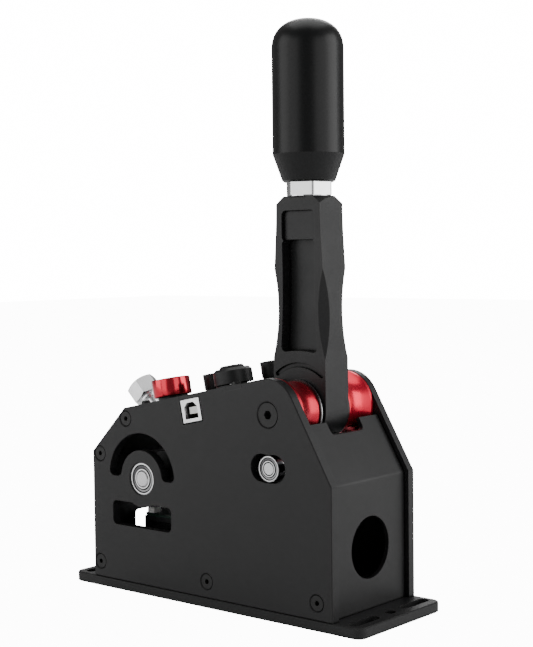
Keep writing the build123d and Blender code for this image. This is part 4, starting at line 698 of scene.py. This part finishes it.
# Knobs turned round and smooth, two of them with fine flutes
def turned_knob(node_name, body, height, finish_name, rim, flutes=0):
    """Stands for a knob's node, with a dished top and a rounded rim."""
    sides = 144
    lip_share = 0.18
    step_share = 0.05
    dish_share = 0.32
    step_depth = 0.2 * MM
    dish_depth = 0.1 * MM
    flute_margin = 0.02 * MM
    flute_depth = 0.12 * MM
    low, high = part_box(node_name)
    radius = (high.y - low.y) / 2

    def on_top(face):
        return face.normal.z > 0.9

    def in_flute(face):
        middle = face.calc_center_median()
        step = round(atan2(middle.y, middle.x) / tau * sides - 0.5)
        outside = abs(face.normal.z) < 0.1 and middle.xy.length > radius * 0.9
        return outside and step % (sides // flutes) == 0

    knob = start(
        f"{node_name}_turned",
        bpy.ops.mesh.primitive_cylinder_add,
        vertices=sides,
        radius=radius,
        depth=height,
    )
    bpy.ops.object.mode_set(mode="EDIT")
    bpy.ops.mesh.select_mode(type="FACE")
    select_faces(knob, on_top)
    bpy.ops.mesh.inset(thickness=radius * lip_share)
    bpy.ops.mesh.inset(thickness=radius * step_share)
    bpy.ops.transform.translate(value=(0, 0, -step_depth))
    bpy.ops.mesh.inset(thickness=radius * dish_share)
    bpy.ops.transform.translate(value=(0, 0, -dish_depth))
    if flutes:
        select_faces(knob, in_flute)
        bpy.ops.mesh.inset(thickness=flute_margin, use_individual=True)
        bpy.ops.transform.shrink_fatten(value=-flute_depth)
    bpy.ops.object.mode_set(mode="OBJECT")
    bevel_edges(knob, rim, segments=3)
    bpy.ops.object.shade_smooth_by_angle(angle=smooth_below)
    place = aligned(box_middle(node_name), down_slope, out_of_slope)
    settle(knob, place, finishes[finish_name], body)
    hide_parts(node_name)


for end in ("front", "rear"):
    turned_knob(
        f"{end}_travel_knob",
        f"{end}_travel_adjuster",
        height=7.7 * MM,
        finish_name="travel_knob",
        rim=0.35 * MM,
        flutes=48,
    )
turned_knob(
    "friction_knob",
    "friction_adjuster",
    height=8.95 * MM,
    finish_name="red_knob",
    rim=0.45 * MM,
)

# Contacts on both faces of the data socket's tongue
contact_size = Vector((0.9, 6.6, 0.16)) * MM
contact_rim = 0.05 * MM
contact_spread = 1.25 * MM
contact_lift = 1.66 * MM
tongue_middle = box_middle("usb_tongue")
contact_finish = gold_finish()
for row in (-1, 1):
    for column in (-1, 1):
        contact = start(
            f"usb_contact_{row + 1}_{column + 1}", bpy.ops.mesh.primitive_cube_add, size=1
        )
        contact.scale = contact_size
        bpy.ops.object.transform_apply(scale=True)
        bevel_edges(contact, contact_rim)
        offset = down_slope * column * contact_spread + out_of_slope * row * contact_lift
        settle(
            contact,
            aligned(tongue_middle + offset, down_slope, out_of_slope),
            contact_finish,
            "housing",
        )

# Camera, from the photograph's vanishing directions
camera_place = Vector((433.8, -495.4, 165.1)) * MM
camera_yaw = radians(40.32)
camera_pitch = radians(2.74)
camera_roll = radians(0.67)
lens_length = 75.16
film_width = 36.0
nearest_seen = 0.01
level = Vector((cos(camera_yaw), sin(camera_yaw), 0))
ahead = Vector((-sin(camera_yaw), cos(camera_yaw), 0))
forward = ahead * cos(camera_pitch) + Vector((0, 0, -sin(camera_pitch)))
below = forward.cross(level)
right = level * cos(camera_roll) + below * sin(camera_roll)
down = below * cos(camera_roll) - level * sin(camera_roll)
bpy.ops.object.camera_add()
camera = bpy.context.object
facing = Matrix((right, -down, -forward)).transposed().to_4x4()
camera.matrix_world = Matrix.Translation(camera_place) @ facing
camera.data.lens = lens_length
camera.data.sensor_width = film_width
camera.data.clip_start = nearest_seen
bpy.context.scene.camera = camera

# Pale floor
floor_side = 8.0
backdrop_light = 16.0
floor_glow_share = 0.8
floor = start("floor", bpy.ops.mesh.primitive_plane_add, size=floor_side)
floor.data.materials.append(floor_finish(backdrop_light, floor_glow_share))


# Soft studio light, in metres and watts
def softbox(name, place, aim, width, height, power):
    """Rectangular light that faces the aim."""
    bpy.ops.object.light_add(type="AREA")
    light = bpy.context.object
    light.name = name
    light.data.shape = "RECTANGLE"
    light.data.size = width
    light.data.size_y = height
    light.data.energy = power
    towards = Vector(aim) - Vector(place)
    light.rotation_euler = towards.to_track_quat("-Z", "Y").to_euler()
    light.location = place


softbox("left_box", place=(-0.95, -1.05, 0.5), aim=(0, 0, 0.12), width=1.0, height=1.2, power=9.0)
softbox("right_box", place=(1.1, 0.75, 0.45), aim=(0, 0, 0.12), width=1.0, height=1.2, power=14.0)
softbox("left_wing", place=(-0.1, -1.39, 0.4), aim=(0, 0, 0.12), width=0.75, height=1.1, power=4.2)
softbox("right_wing", place=(1.3, -0.2, 0.35), aim=(0, 0, 0.1), width=1.0, height=1.1, power=5.5)
softbox("top_box", place=(-0.1, 0.15, 1.3), aim=(0, 0, 0.1), width=1.2, height=1.0, power=8.0)
softbox("back_box", place=(-0.7, 1.1, 1.0), aim=(0, 0, 0.15), width=0.8, height=0.8, power=7.0)

# Studio walls, burnt out to white where the camera sees them
room_light = 0.22
white = (1, 1, 1, 1)
world = bpy.data.worlds.new("studio")
world.use_nodes = True
walls = world.node_tree
room = walls.nodes["Background"]
backdrop = walls.nodes.new("ShaderNodeBackground")
for background, strength in ((room, room_light), (backdrop, backdrop_light)):
    background.inputs["Strength"].default_value = strength
    background.inputs["Color"].default_value = white
seen = walls.nodes.new("ShaderNodeLightPath")
blend_into(
    walls, "World Output", seen.outputs["Is Camera Ray"], room.outputs[0], backdrop.outputs[0]
)
bpy.context.scene.world = world
